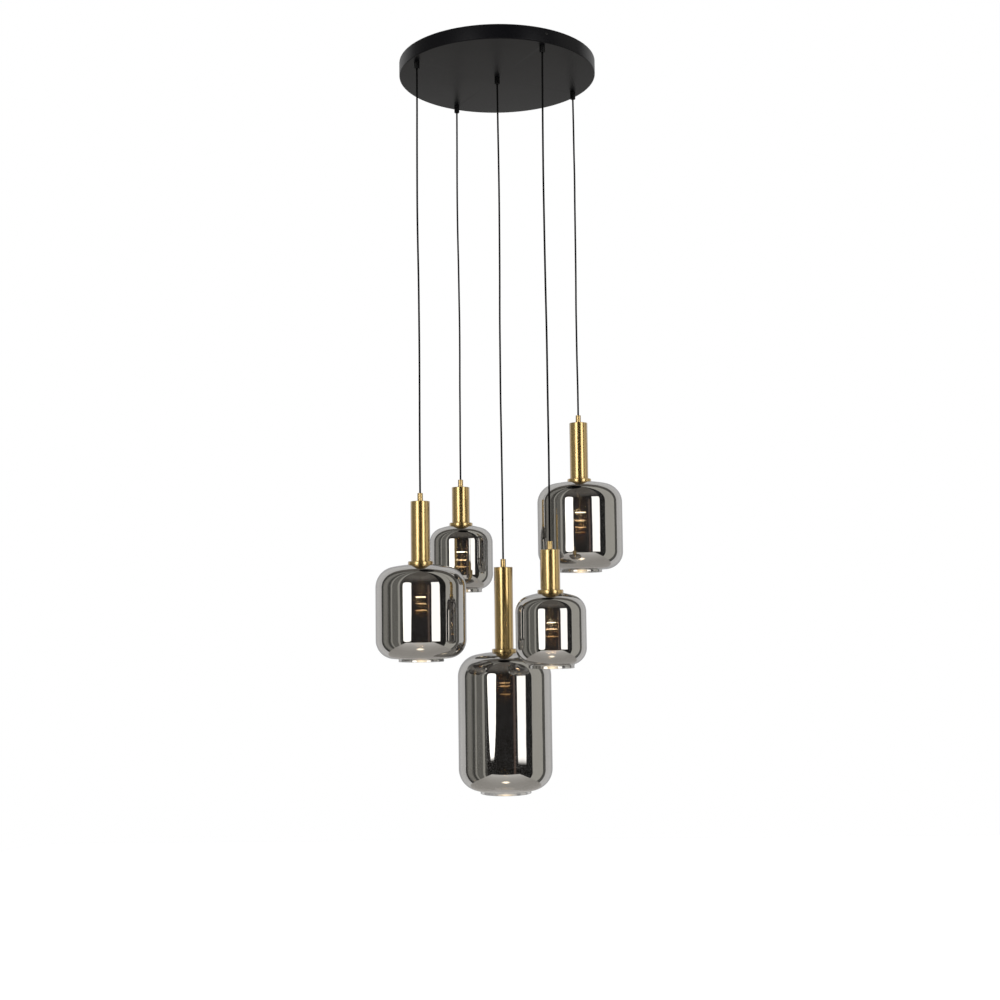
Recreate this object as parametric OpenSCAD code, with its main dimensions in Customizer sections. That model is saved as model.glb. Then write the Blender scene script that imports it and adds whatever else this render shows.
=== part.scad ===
// Cluster pendant light: a round canopy with five cords, each ending in a brass
// lampholder sleeve and a blown smoked-glass shade with an open foot.
// Millimetres, +Z up. The origin is the centre of the canopy's back plane,
// which lies on the ceiling. Everything hangs below it.

/* [Canopy] */
// Outside diameter of the canopy pan
canopy_d = 500; // [470:5:560]
// Depth of the pan from the ceiling to its underside
canopy_h = 35.5; // [34.5:0.5:45]
// Sheet thickness of the pan
pan_t = 1.5; // [1:0.1:2]
// Outside radius of the pressed edge
pan_edge_r = 3; // [2.5:0.5:6]
// Distance of the outer cords from the middle one
ring_r = 227.5; // [205:0.5:228]

/* [Ceiling bracket] */
// Width of the bracket strip
bracket_w = 40; // [36:1:46]
// Thickness of the bracket strip
bracket_t = 2.5; // [2:0.1:3]
// Drop of the two ears that take the rim screws
bracket_ear_h = 21; // [19:0.5:24]
// Distance between the two ceiling slots
slot_pitch = 220; // [215:5:300]
// Length of a ceiling slot from end to end
slot_l = 16; // [12:1:20]
// Width of a ceiling slot
slot_w = 5.4; // [4:0.1:7]
// Thread diameter of a rim screw
rim_screw_d = 4; // [3:0.5:5]
// Head diameter of a rim screw
rim_screw_head_d = 6.6; // [6:0.1:9]
// Head height of a rim screw
rim_screw_head_h = 2.2; // [1.5:0.1:3]
// Length of a rim screw under its head
rim_screw_l = 9; // [7:0.5:12]
// Depth of the rim screws below the ceiling
rim_screw_depth = 12.5; // [10:0.5:15]

/* [Junction box] */
// Outside diameter of the junction box
box_d = 56; // [52:1:60]
// Height of the junction box with its lid
box_h = 21; // [19:0.5:23]
// Wall of the junction box
box_wall = 1.8; // [1.4:0.1:2.4]
// Thickness of the lid
lid_t = 2; // [1.5:0.1:3]
// Place of the box beside the strip's centre line
box_x = 30; // [28:1:34]
// Place of the box along the strip
box_y = 55; // [52:1:64]
// Diameter of the two screws that hold lid and box
box_screw_d = 3.5; // [3:0.1:4]
// Distance between those two screws
box_screw_pitch = 22; // [18:1:26]
// Length of the terminal block
terminal_l = 25; // [20:1:28]
// Width of the terminal block
terminal_w = 11; // [9:1:12]
// Height of the terminal block
terminal_h = 11; // [9:0.5:12]

/* [Cords] */
// Diameter of a pendant cord
cord_d = 4.3; // [4:0.1:5]
// Radial clearance between a cord and every bore it runs through
cord_gap = 0.35; // [0.3:0.05:0.6]
// Diameter of a ceiling cord grip
ceiling_grip_d = 13.5; // [12.5:0.5:16]
// Length of a ceiling cord grip below the pan
ceiling_grip_h = 16.5; // [14:0.5:22]
// Diameter of a brass cord grip
head_grip_d = 13.5; // [12.5:0.5:16]
// Length of a brass cord grip above the sleeve
head_grip_h = 20; // [16:0.5:26]
// Depth of the flared mouth of a grip
mouth_h = 5; // [4:0.5:6]
// Radius gained by that flared mouth
mouth_flare = 1.6; // [1:0.1:2]

/* [Threads and nuts] */
// Outside diameter of the threaded tube
tube_d = 10; // [9.5:0.1:10.4]
// Bore of the threaded tube
tube_bore = 6.4; // [6:0.1:6.8]
// Radial clearance of threads, spigots and seats
fit_gap = 0.1; // [0.05:0.05:0.2]
// Width across the flats of a nut
nut_af = 14; // [13:0.5:16]
// Thickness of a nut
nut_t = 3; // [2.5:0.5:4]

/* [Hanging depths] */
// Depth of the left glass top below the ceiling
drop_left = 1283; // [1260:1:1300]
// Depth of the back glass top below the ceiling
drop_back = 1171; // [1150:1:1200]
// Depth of the middle glass top below the ceiling
drop_centre = 1498; // [1490:1:1700]
// Depth of the front glass top below the ceiling
drop_front = 1357; // [1340:1:1365]
// Depth of the right glass top below the ceiling
drop_right = 1067; // [1050:1:1100]

/* [Sleeve and collar] */
// Outside diameter of the brass sleeve
sleeve_d = 46.5; // [46.2:0.1:50]
// Wall of the sleeve
sleeve_wall = 1.4; // [1:0.1:1.6]
// Thickness of the sleeve's top
sleeve_top_t = 2; // [1.5:0.1:3]
// Outside radius of the sleeve's top edge
sleeve_edge_r = 1.2; // [1:0.1:2]
// Sleeve length over a small shade
small_sleeve_h = 94; // [80:1:120]
// Sleeve length over a large shade
large_sleeve_h = 145; // [125:1:170]
// Sleeve length over the tall shade
tall_sleeve_h = 202; // [180:1:230]
// Diameter of the collar on the glass
collar_d = 61; // [58:0.5:66]
// Height of the collar
collar_h = 8; // [7:0.5:10]
// Radius of the collar's upper edge
collar_edge_r = 2.5; // [1.5:0.5:3]
// Height of the spigot that centres the sleeve
spigot_h = 3; // [2:0.5:4]

/* [Lampholder and shade ring] */
// Diameter of the holder's threaded skirt
skirt_d = 39.8; // [39:0.1:40]
// Length of the skirt inside the shade
skirt_in = 27; // [24:0.5:30]
// Height of the holder above the collar's spigot
holder_h = 37; // [34:0.5:42]
// Height of the boss on top of the holder
boss_h = 8; // [7:0.5:10]
// Diameter of that boss
boss_d = 16; // [14:0.5:20]
// Diameter of the hole for the lamp cap
socket_d = 27.2; // [27:0.1:28]
// Diameter of the shade ring's flange
ring_flange_d = 59; // [55:0.5:60]
// Thickness of that flange
ring_flange_t = 2.5; // [2:0.5:4]
// Diameter of the ring's grip band
ring_band_d = 48; // [46:0.5:52]
// Height of the whole ring
ring_h = 9; // [8:0.5:12]
// Number of grip ribs on the ring
ring_ribs = 24; // [12:2:36]

/* [Lamp] */
// Diameter of the lamp's glass
lamp_d = 40; // [38:0.5:45]
// Depth of the lamp's lowest point below the glass top
lamp_depth = 128; // [122:1:135]
// Wall of the lamp's glass
lamp_wall = 0.9; // [0.7:0.1:1.2]
// Diameter of the screw cap
cap_d = 26.4; // [26:0.1:26.6]
// Diameter of a filament loop
filament_d = 28; // [24:0.5:30]
// Thickness of the filament
filament_t = 1.4; // [1:0.1:2]
// Depth of the uppermost filament loop below the glass top
filament_depth = 78; // [74:1:82]
// Step between the filament loops
filament_step = 16; // [13:0.5:17]
// Number of filament loops
filament_loops = 3; // [1:1:3]

/* [Shades] */
// Wall of the blown glass
glass_t = 2.5; // [2:0.1:3.5]
// Diameter of the hole in the top of a shade
neck_d = 42; // [41:0.5:44]
// Diameter of the small shades
small_d = 166; // [150:1:180]
// Height of the small shades
small_h = 175; // [168:1:195]
// Radius of the small shades' domed top
small_dome_r = 180; // [150:5:300]
// Radius of the small shades' shoulder
small_top_r = 40; // [34:1:42]
// Radius of the small shades' lower corner
small_bottom_r = 40; // [30:1:42]
// Diameter of the small shades' foot
small_foot_d = 107; // [90:1:110]
// Diameter of the large shades
large_d = 218; // [200:1:222]
// Height of the large shades
large_h = 233; // [215:1:250]
// Radius of the large shades' domed top
large_dome_r = 350; // [250:10:500]
// Radius of the large shades' shoulder
large_top_r = 50; // [42:1:55]
// Radius of the large shades' lower corner
large_bottom_r = 45; // [38:1:50]
// Diameter of the large shades' foot
large_foot_d = 109; // [95:1:115]
// Diameter of the tall shade
tall_d = 231; // [215:1:234]
// Height of the tall shade
tall_h = 345; // [320:1:370]
// Radius of the tall shade's domed top
tall_dome_r = 350; // [250:10:500]
// Radius of the tall shade's shoulder
tall_top_r = 55; // [45:1:58]
// Radius of the tall shade's lower corner
tall_bottom_r = 53; // [45:1:55]
// Diameter of the tall shade's foot
tall_foot_d = 125; // [110:1:130]
// Height of the straight foot under every shade
foot_h = 7.5; // [5:0.5:10]

/* [Hidden] */
$fn = 96;
eps = 0.01;

// The five places, seen in plan: left and right on X, front and back on Y.
PLACES = ["left", "back", "centre", "front", "right"];
plan = [[-ring_r, 0], [0, ring_r], [0, 0], [0, -ring_r], [ring_r, 0]];
drops = [drop_left, drop_back, drop_centre, drop_front, drop_right];

// Shade styles: diameter, height, dome, shoulder, lower corner, foot diameter, sleeve length.
small = [small_d, small_h, small_dome_r, small_top_r, small_bottom_r, small_foot_d, small_sleeve_h];
large = [large_d, large_h, large_dome_r, large_top_r, large_bottom_r, large_foot_d, large_sleeve_h];
tall = [tall_d, tall_h, tall_dome_r, tall_top_r, tall_bottom_r, tall_foot_d, tall_sleeve_h];
styles = [large, small, tall, small, large];

// Sideways wander of each cord at eleven even steps between its two grips.
wander_left = [[0, 0.5], [-0.5, 1], [-1, 1], [-1.5, 0.5], [-1, 0], [0, -0.5],
               [0.5, -0.5], [1, 0], [1, 0.5], [0.5, 0.5], [0, 0]];
wander_back = [[-0.5, 0], [-1, 0.5], [-1, 1], [-0.5, 1], [0.5, 0.5], [1, 0],
               [1.5, -0.5], [1.5, 0], [1, 0.5], [0.5, 0], [0, 0]];
wander_centre = [[0.5, 0], [1, -0.5], [1, -1], [0.5, -1], [0, -0.5], [-1, 0],
                 [-1, 0.5], [-1, 1], [-0.5, 0.5], [0, 0.5], [0, 0]];
wander_front = [[-1, 0], [-1.5, 0.5], [-2, 0.5], [-2, 0], [-1.5, 0], [-1, -0.5],
                [0, -0.5], [0.5, 0], [1, 0.5], [1, 0], [0.5, 0]];
wander_right = [[0.5, 0], [1, 0.5], [1.5, 0.5], [1, 0.5], [0.5, 0], [0, -0.5],
                [-0.5, -0.5], [-1, 0], [-1, 0], [-0.5, 0.5], [0, 0]];
wanders = [wander_left, wander_back, wander_centre, wander_front, wander_right];
cord_sides = 10;
// Straight length of a cord at each of its two grips.
cord_lead = 4;

// Heights in the canopy, from the ceiling down. A thread stands proud of its nut.
pan_floor = -canopy_h + pan_t;
thread_proud = 2;
grip_thread_top = pan_floor + nut_t + thread_proud;
grip_mouth = -canopy_h - ceiling_grip_h;
cord_pivot = grip_mouth + mouth_h;
bend_r = 4 * cord_d;
tail_start = grip_thread_top + 2;
tail_z = tail_start + bend_r;
cord_bore = cord_d / 2 + cord_gap;
tube_r = tube_d / 2;
nut_r = nut_af / 2 / cos(30);

// Heights in a lampholder head, from the top of the glass up.
spigot_top = collar_h + spigot_h;
holder_top = spigot_top + holder_h;
stem_foot = holder_top - boss_h + 1;
sleeve_in_r = sleeve_d / 2 - sleeve_wall;
collar_bore_r = skirt_d / 2 + 3 * fit_gap;
spigot_r = sleeve_in_r - fit_gap;
holder_r = sleeve_in_r - 4 * fit_gap;
socket_top = collar_h;
cap_r = cap_d / 2;
stem_thread = 9;

// The lamp's neck and cap, from the top of the glass up.
neck_top = -18;
neck_l = 8;
flare_l = 22;
cap_low = -22;
cap_top = 2;
cap_cone_h = 4;
cap_plug_top = -14;
cap_wall = 0.7;
contact_r = 4.5;

// Bracket ears lie just inside the pan's wall.
ear_out_r = canopy_d / 2 - pan_t - 3 * fit_gap;

// Holes for the supply wires and pillars for the two screws of the junction box.
supply_hole_r = 14;
box_entry_r = 9;
box_screw_edge = 7;
pillar_d = box_screw_d + 3;
tail_entry_l = 12;
lid_lip_h = 2;

function place(p) = search([p], PLACES)[0];
function x_of(p) = plan[place(p)][0];
function y_of(p) = plan[place(p)][1];
function drop_of(p) = drops[place(p)];
function style_of(p) = styles[place(p)];
function sleeve_h_of(p) = style_of(p)[6];
function head_top_z(p) = -drop_of(p) + collar_h + sleeve_h_of(p) + head_grip_h;

// Points of a cord: in the ceiling grip, down the free stretch, into the head.
function cord_route(p) =
    let (n = place(p), z1 = grip_mouth - cord_lead, z2 = head_top_z(p) + cord_lead,
         steps = len(wanders[n]) + 1)
    concat(
        [[0, 0, cord_pivot], [0, 0, z1]],
        [for (i = [1:steps - 1])
            [wanders[n][i - 1][0], wanders[n][i - 1][1], z1 + (z2 - z1) * i / steps]],
        [[0, 0, z2], [0, 0, -drop_of(p) + stem_foot]]);

function unit(v) = v / norm(v);
function heading(pts, i) =
    i == 0 ? unit(pts[1] - pts[0]) :
    i == len(pts) - 1 ? unit(pts[i] - pts[i - 1]) :
    unit(unit(pts[i + 1] - pts[i]) + unit(pts[i] - pts[i - 1]));

// Solid tube of radius r swept along a route that keeps nearly square to `side`.
module swept_tube(pts, r, sides, side) {
    n = len(pts);
    rings = [for (i = [0:n - 1])
        let (t = heading(pts, i), v = unit(cross(t, side)), u = cross(v, t))
        for (k = [0:sides - 1])
            pts[i] + r * (cos(360 * k / sides) * u + sin(360 * k / sides) * v)];
    walls = [for (i = [0:n - 2]) for (k = [0:sides - 1])
        let (a = i * sides + k, b = i * sides + (k + 1) % sides)
        each [[a, b, b + sides], [a, b + sides, a + sides]]];
    top = [for (k = [1:sides - 2]) [0, k + 1, k]];
    last = (n - 1) * sides;
    bottom = [for (k = [1:sides - 2]) [last, last + k, last + k + 1]];
    polyhedron(points = rings, faces = concat(walls, top, bottom));
}

module at_places() {
    for (p = PLACES) translate([x_of(p), y_of(p), 0]) children();
}

module at_head(p) {
    translate([x_of(p), y_of(p), -drop_of(p)]) children();
}

module tube(r_out, r_in, z0, z1) {
    translate([0, 0, z0]) difference() {
        cylinder(r = r_out, h = z1 - z0);
        translate([0, 0, -1]) cylinder(r = r_in, h = z1 - z0 + 2);
    }
}

// Disc with its lower outside edge rounded, as a revolved outline.
module rounded_disc(r, z_low, z_high, edge) {
    rotate_extrude() {
        square_at(0, r, z_low + edge, z_high);
        square_at(0, r - edge, z_low, z_low + edge + eps);
        intersection() {
            translate([r - edge, z_low + edge]) circle(r = edge);
            square_at(r - edge - eps, r, z_low, z_low + edge + eps);
        }
    }
}

module square_at(x0, x1, y0, y1) {
    translate([x0, y0]) square([x1 - x0, y1 - y0]);
}

module hex_nut(z0, bore_r) {
    translate([0, 0, z0]) difference() {
        cylinder(r = nut_r, h = nut_t, $fn = 6);
        translate([0, 0, -1]) cylinder(r = bore_r, h = nut_t + 2);
    }
}

// Bore for a cord with a flared mouth; the mouth opens at z = 0 and the bore runs to z = h.
module cord_bore_cut(h) {
    rotate_extrude() {
        square_at(0, cord_bore, -1, h + 1);
        difference() {
            square_at(0, cord_bore + mouth_flare, -1, mouth_h);
            translate([cord_bore + mouth_flare, mouth_h]) mouth_lip(mouth_flare);
        }
    }
}

// Quarter-round lip that the flared mouth leaves standing.
module mouth_lip(r) {
    circle(r = r);
    square_at(-r, r, -mouth_h - 2, -mouth_h + r);
}

// The canopy

module canopy_pan() {
    color("#1b1b1d") difference() {
        rounded_disc(canopy_d / 2, -canopy_h, 0, pan_edge_r);
        rounded_disc(canopy_d / 2 - pan_t, pan_floor, 1, max(0.5, pan_edge_r - pan_t));
        at_places() translate([0, 0, -canopy_h - 1]) cylinder(r = tube_r + fit_gap, h = pan_t + 2);
        rim_screw_places() translate([-pan_t - 1, 0, 0])
            rotate([0, 90, 0]) cylinder(r = rim_screw_d / 2 + fit_gap, h = pan_t + 2);
    }
}

// Puts its children on the rim, in line with the front and back cords, X pointing outwards.
module rim_screw_places() {
    for (a = [90, 270])
        rotate([0, 0, a]) translate([canopy_d / 2, 0, -rim_screw_depth]) children();
}

module ceiling_bracket() {
    color("#a8acaf") difference() {
        union() {
            translate([-bracket_w / 2, -ear_out_r + 2 * bracket_t, -bracket_t])
                cube([bracket_w, 2 * ear_out_r - 4 * bracket_t, bracket_t]);
            for (a = [90, 270]) rotate([0, 0, a]) bracket_ear();
        }
        for (s = [-1, 1]) translate([0, s * slot_pitch / 2, -bracket_t - 1]) slot_cut();
        translate([box_x, box_y, -bracket_t - 1]) cylinder(r = supply_hole_r, h = bracket_t + 2);
        box_screw_places() translate([0, 0, -bracket_t - 1])
            cylinder(r = box_screw_d / 2 + fit_gap, h = bracket_t + 2);
        rim_screw_places() translate([-pan_t - 6, 0, 0])
            rotate([0, 90, 0]) cylinder(r = rim_screw_d / 2 + fit_gap / 2, h = 6);
    }
}

// Ear turned down at the end of the strip, following the pan's round wall.
module bracket_ear() {
    ear_w = bracket_w / 2;
    root_r = ear_out_r - 3 * bracket_t;
    root_l = 2.2 * bracket_t;
    intersection() {
        tube(ear_out_r, ear_out_r - bracket_t, -bracket_ear_h, 0);
        translate([0, -ear_w / 2, -bracket_ear_h]) cube([canopy_d / 2, ear_w, bracket_ear_h]);
    }
    translate([root_r, -ear_w / 2, -bracket_t]) cube([root_l, ear_w, bracket_t]);
}

module slot_cut() {
    straight = slot_l - slot_w;
    for (s = [-1, 1]) translate([0, s * straight / 2, 0]) cylinder(d = slot_w, h = bracket_t + 2);
    translate([-slot_w / 2, -straight / 2, 0]) cube([slot_w, straight, bracket_t + 2]);
}

// Domed screws with a hexagon socket.
module rim_screws() {
    dome_r = rim_screw_head_d / 2 + 0.6;
    hex_d = 2.4;
    hex_floor = 1;
    color("#161617") rim_screw_places() rotate([0, 90, 0]) {
        translate([0, 0, -rim_screw_l]) cylinder(d = rim_screw_d, h = rim_screw_l);
        difference() {
            rotate_extrude() intersection() {
                square_at(0, rim_screw_head_d / 2, 0, rim_screw_head_h);
                translate([0, rim_screw_head_h - dome_r]) circle(r = dome_r);
            }
            translate([0, 0, hex_floor]) cylinder(d = hex_d, h = rim_screw_head_h, $fn = 6);
        }
    }
}

module box_screw_places() {
    for (s = [-1, 1])
        translate([bracket_w / 2 - box_screw_edge, box_y + s * box_screw_pitch / 2, 0]) children();
}

// The cup of the box opens downwards; each cord tail has its own hole in the wall.
module junction_box() {
    top = -bracket_t;
    low = top - box_h + lid_t;
    color("#d9d6cc") difference() {
        union() {
            translate([box_x, box_y, 0]) difference() {
                translate([0, 0, low]) cylinder(d = box_d, h = top - low);
                translate([0, 0, low - 1])
                    cylinder(r = box_d / 2 - box_wall, h = top - low + 1 - box_wall);
            }
            box_screw_places() translate([0, 0, low]) cylinder(d = pillar_d, h = top - low);
        }
        translate([box_x, box_y, top - box_wall - 1]) cylinder(r = box_entry_r, h = box_wall + 2);
        box_screw_places() translate([0, 0, low - 1])
            cylinder(r = box_screw_d / 2 + fit_gap, h = box_h + 2);
        for (p = PLACES) tail_line(p) translate([0, 0, tail_l(p) - tail_entry_l])
            cylinder(r = cord_bore, h = tail_entry_l + eps);
    }
}

module junction_lid() {
    low = -bracket_t - box_h;
    color("#cfccc2") difference() {
        union() {
            translate([box_x, box_y, low]) cylinder(d = box_d, h = lid_t);
            translate([box_x, box_y, 0])
                tube(box_d / 2 - box_wall - fit_gap, box_d / 2 - 2 * box_wall,
                     low + lid_t - eps, low + lid_t + lid_lip_h);
        }
        box_screw_places() translate([0, 0, low - 1]) {
            cylinder(r = box_screw_d / 2 + fit_gap, h = lid_t + 2);
            translate([0, 0, lid_t + 1]) cylinder(d = pillar_d + 4 * fit_gap, h = 2 * lid_lip_h);
        }
    }
}

// Slotted screws that hold lid and box to the bracket, ending just below the ceiling.
module junction_screws() {
    low = -bracket_t - box_h;
    head_h = 1.8;
    slot = 1;
    color("#b9bcbe") box_screw_places() {
        translate([0, 0, low]) cylinder(d = box_screw_d, h = box_h + bracket_t - 0.5);
        translate([0, 0, low - head_h]) difference() {
            cylinder(d = pillar_d, h = head_h);
            translate([-slot / 2, -box_screw_d, -1]) cube([slot, 2 * box_screw_d, 1 + head_h / 2]);
        }
    }
}

// Three-pole block on the box's ceiling plate, with its screws reached from below.
module terminal_block() {
    top = -bracket_t - box_wall;
    pole = terminal_l / 3;
    well_d = 3;
    wire_d = 3.6;
    color("#efece2") translate([box_x, box_y, top - terminal_h]) difference() {
        translate([-terminal_w / 2, -terminal_l / 2, 0]) cube([terminal_w, terminal_l, terminal_h]);
        for (i = [-1:1]) translate([0, i * pole, 0]) {
            translate([0, 0, -1]) cylinder(d = well_d, h = 1 + well_d);
            translate([-terminal_w, 0, terminal_h / 2]) rotate([0, 90, 0])
                cylinder(d = wire_d, h = 2 * terminal_w);
        }
    }
}

// Distance and direction in plan from a cord to the junction box.
function tail_away(p) = [box_x - x_of(p), box_y - y_of(p)];
function tail_turn(p) = atan2(tail_away(p)[1], tail_away(p)[0]);
function tail_l(p) = norm(tail_away(p)) - box_d / 2 + box_wall + 3;

// Level line from above a cord towards the box: Z points along it, z = 0 over the cord.
module tail_line(p) {
    translate([x_of(p), y_of(p), tail_z]) rotate([0, 0, tail_turn(p)]) rotate([0, 90, 0]) children();
}

// Route of a tail seen from the side: up out of the grip, round the bend, level to the box.
function tail_route(p) = concat(
    [[0, 0, cord_pivot]],
    [for (a = [0:45:90]) [bend_r * (1 - cos(a)), 0, tail_start + bend_r * sin(a)]],
    [[tail_l(p), 0, tail_z]]);

// Each tail rises out of its grip, bends level and ends inside the junction box.
module cord_tails() {
    color("#151515") for (p = PLACES) translate([x_of(p), y_of(p), 0]) rotate([0, 0, tail_turn(p)])
        swept_tube(tail_route(p), cord_d / 2, cord_sides, [0, 1, 0]);
}

module ceiling_grips() {
    color("#121213") at_places() difference() {
        union() {
            rounded_disc(ceiling_grip_d / 2, grip_mouth, -canopy_h, 1);
            translate([0, 0, -canopy_h - eps]) cylinder(r = tube_r, h = grip_thread_top + canopy_h + eps);
        }
        translate([0, 0, grip_mouth]) cord_bore_cut(canopy_h + ceiling_grip_h);
    }
}

module grip_nuts() {
    color("#b4b6b8") at_places() hex_nut(pan_floor, tube_r + fit_gap / 2);
}

// One pendant, from its cord down to its lamp

module cord(p) {
    color("#151515") translate([x_of(p), y_of(p), 0])
        swept_tube(cord_route(p), cord_d / 2, cord_sides, [0, 1, 0]);
}

// Turned brass grip: bell mouth on top, threaded socket for the tube below.
module cord_grip(p) {
    foot = collar_h + sleeve_h_of(p);
    color("#b08d4c") at_head(p) difference() {
        translate([0, 0, foot + head_grip_h]) rotate([180, 0, 0])
            rounded_disc(head_grip_d / 2, 0, head_grip_h, 1.2);
        translate([0, 0, foot + head_grip_h]) rotate([180, 0, 0]) cord_bore_cut(head_grip_h);
        translate([0, 0, foot - 1]) cylinder(r = tube_r + fit_gap / 2, h = stem_thread + 1.5);
    }
}

// Threaded tube that carries the lampholder, with the nut that clamps the sleeve's top.
module stem(p) {
    top = collar_h + sleeve_h_of(p);
    color("#a9abad") at_head(p) {
        tube(tube_r, tube_bore / 2, stem_foot, top + stem_thread);
        hex_nut(top - sleeve_top_t - nut_t, tube_r + fit_gap / 2);
    }
}

module sleeve(p) {
    top = collar_h + sleeve_h_of(p);
    color("#b8944f") at_head(p) difference() {
        translate([0, 0, top]) rotate([180, 0, 0])
            rounded_disc(sleeve_d / 2, 0, sleeve_h_of(p), sleeve_edge_r);
        translate([0, 0, collar_h - 1]) cylinder(r = sleeve_in_r, h = sleeve_h_of(p) + 1 - sleeve_top_t);
        translate([0, 0, top - sleeve_top_t - 1]) cylinder(r = tube_r + fit_gap, h = sleeve_top_t + 2);
    }
}

// Flange that rests on the glass; its spigot centres the sleeve.
module collar(p) {
    color("#a9863f") at_head(p) difference() {
        union() {
            translate([0, 0, collar_h]) rotate([180, 0, 0])
                rounded_disc(collar_d / 2, 0, collar_h, collar_edge_r);
            cylinder(r = spigot_r, h = spigot_top);
        }
        translate([0, 0, -1]) cylinder(r = collar_bore_r, h = spigot_top + 2);
    }
}

// Screw-cap lampholder: boss on top, shoulder on the spigot, threaded skirt through the glass.
module lampholder(p) {
    shoulder_h = 4;
    cone_r = boss_d / 2 + 4;
    nub_r = 2;
    color("#1d1c1b") at_head(p) difference() {
        union() {
            translate([0, 0, -skirt_in]) cylinder(d = skirt_d, h = skirt_in + spigot_top + eps);
            translate([0, 0, spigot_top]) cylinder(r = holder_r, h = shoulder_h);
            translate([0, 0, spigot_top + shoulder_h - eps])
                cylinder(r1 = holder_r, r2 = cone_r, h = holder_h - boss_h - shoulder_h + eps);
            translate([0, 0, holder_top - boss_h - eps]) cylinder(d = boss_d, h = boss_h + eps);
        }
        translate([0, 0, -skirt_in - 1]) cylinder(d = socket_d, h = skirt_in + 1 + socket_top);
        translate([0, 0, stem_foot]) cylinder(r = tube_r + fit_gap / 2, h = boss_h + 1);
        translate([0, 0, socket_top - 1]) cylinder(r = nub_r, h = nub_r + 0.5);
    }
}

// Ribbed ring nut on the skirt, holding the glass up against the collar.
module shade_ring(p) {
    top = -glass_t;
    rib_r = 1.1;
    color("#22211f") at_head(p) difference() {
        union() {
            translate([0, 0, top - ring_flange_t]) cylinder(d = ring_flange_d, h = ring_flange_t);
            translate([0, 0, top - ring_h]) cylinder(d = ring_band_d, h = ring_h);
            for (i = [0:ring_ribs - 1]) rotate([0, 0, 360 * i / ring_ribs])
                translate([ring_band_d / 2, 0, top - ring_h]) cylinder(r = rib_r, h = ring_h, $fn = 16);
        }
        translate([0, 0, top - ring_h - 1]) cylinder(r = skirt_d / 2 + fit_gap, h = ring_h + 2);
    }
}

// Outline of a shade, drawn from the axis outwards with its top at y = 0.
// The shoulder arc meets the dome and the wall tangentially, inset by `in`
// for the inside face. The dome is cut level where the collar seats.
module shade_outline(s, in) {
    r = s[0] / 2;
    top_r = s[3];
    low_r = s[4];
    dome_r = s[2];
    a = r - top_r;
    seat_r = collar_d / 2;
    dome_y = -sqrt(dome_r * dome_r - seat_r * seat_r);
    shoulder_y = dome_y + sqrt(pow(dome_r - top_r, 2) - a * a);
    bowl_y = -s[1] + foot_h;
    low_y = bowl_y + low_r;
    over = 10;
    reach = (dome_r + over) / (dome_r - top_r);
    intersection() {
        translate([0, dome_y]) circle(r = dome_r - in, $fn = 360);
        polygon([[0, dome_y], [a * reach, dome_y + (shoulder_y - dome_y) * reach], [0, over]]);
        square_at(0, r, shoulder_y, -in);
    }
    translate([a, shoulder_y]) circle(r = top_r - in);
    square_at(0, a, shoulder_y - top_r, shoulder_y + eps);
    square_at(0, r - in, low_y, shoulder_y);
    translate([r - low_r, low_y]) circle(r = low_r - in);
    square_at(0, r - low_r, bowl_y + in, low_y + eps);
    square_at(0, s[5] / 2 - in, -s[1] - in, low_y);
}

// Blown glass with an open foot and a ground hole in the top.
module shade(p) {
    s = style_of(p);
    color("#6d6a66", 0.6) at_head(p) rotate_extrude() difference() {
        intersection() {
            shade_outline(s, 0);
            square_at(0, s[0], -s[1], 0);
        }
        shade_outline(s, glass_t);
        square_at(-1, neck_d / 2, -glass_t - 1, 1);
    }
}

// Tubular lamp: an open neck in the cap, a flare, a straight bulb and a round end.
module lamp_body(in) {
    r = lamp_d / 2 - in;
    neck_r = cap_r - 1 - in;
    end_z = lamp_d / 2 - lamp_depth;
    rotate_extrude() polygon([[0, neck_top + in], [neck_r, neck_top + in], [neck_r, neck_top - neck_l],
                              [r, neck_top - neck_l - flare_l], [r, end_z], [0, end_z]]);
    translate([0, 0, end_z]) sphere(r = r);
}

module lamp(p) {
    color("#f3dcae", 0.5) at_head(p) difference() {
        lamp_body(0);
        lamp_body(lamp_wall);
    }
}

// Screw cap with its contact, and the glass mount that carries the filament loops.
module lamp_cap(p) {
    mount_r = 2.2;
    support_r = 0.4;
    mount_low = -filament_depth - filament_step * (filament_loops - 1) - 3;
    cone_top = cap_top + cap_cone_h;
    color("#b9b6ae") at_head(p) {
        difference() {
            union() {
                translate([0, 0, cap_low]) cylinder(r = cap_r, h = cap_top - cap_low);
                translate([0, 0, cap_top - eps])
                    cylinder(r1 = cap_r - 1, r2 = contact_r + 0.5, h = cap_cone_h + eps);
                translate([0, 0, cone_top - eps]) cylinder(r = contact_r, h = socket_top - cone_top + eps);
            }
            translate([0, 0, cap_low - 1]) cylinder(r = cap_r - cap_wall, h = cap_plug_top - cap_low + 1);
        }
        translate([0, 0, mount_low]) cylinder(r = mount_r, h = cap_plug_top - mount_low + eps);
        for (i = [0:filament_loops - 1]) translate([0, 0, -filament_depth - i * filament_step]) {
            rotate_extrude() translate([filament_d / 2, 0]) circle(d = filament_t, $fn = 24);
            rotate([90, 0, 60 * i]) translate([0, 0, -filament_d / 2])
                cylinder(r = support_r, h = filament_d, $fn = 16);
        }
    }
}

canopy_pan();
ceiling_bracket();
rim_screws();
junction_box();
junction_lid();
junction_screws();
terminal_block();
cord_tails();
ceiling_grips();
grip_nuts();
for (p = PLACES) {
    cord(p);
    cord_grip(p);
    stem(p);
    sleeve(p);
    collar(p);
    lampholder(p);
    shade_ring(p);
    shade(p);
    lamp(p);
    lamp_cap(p);
}
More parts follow.
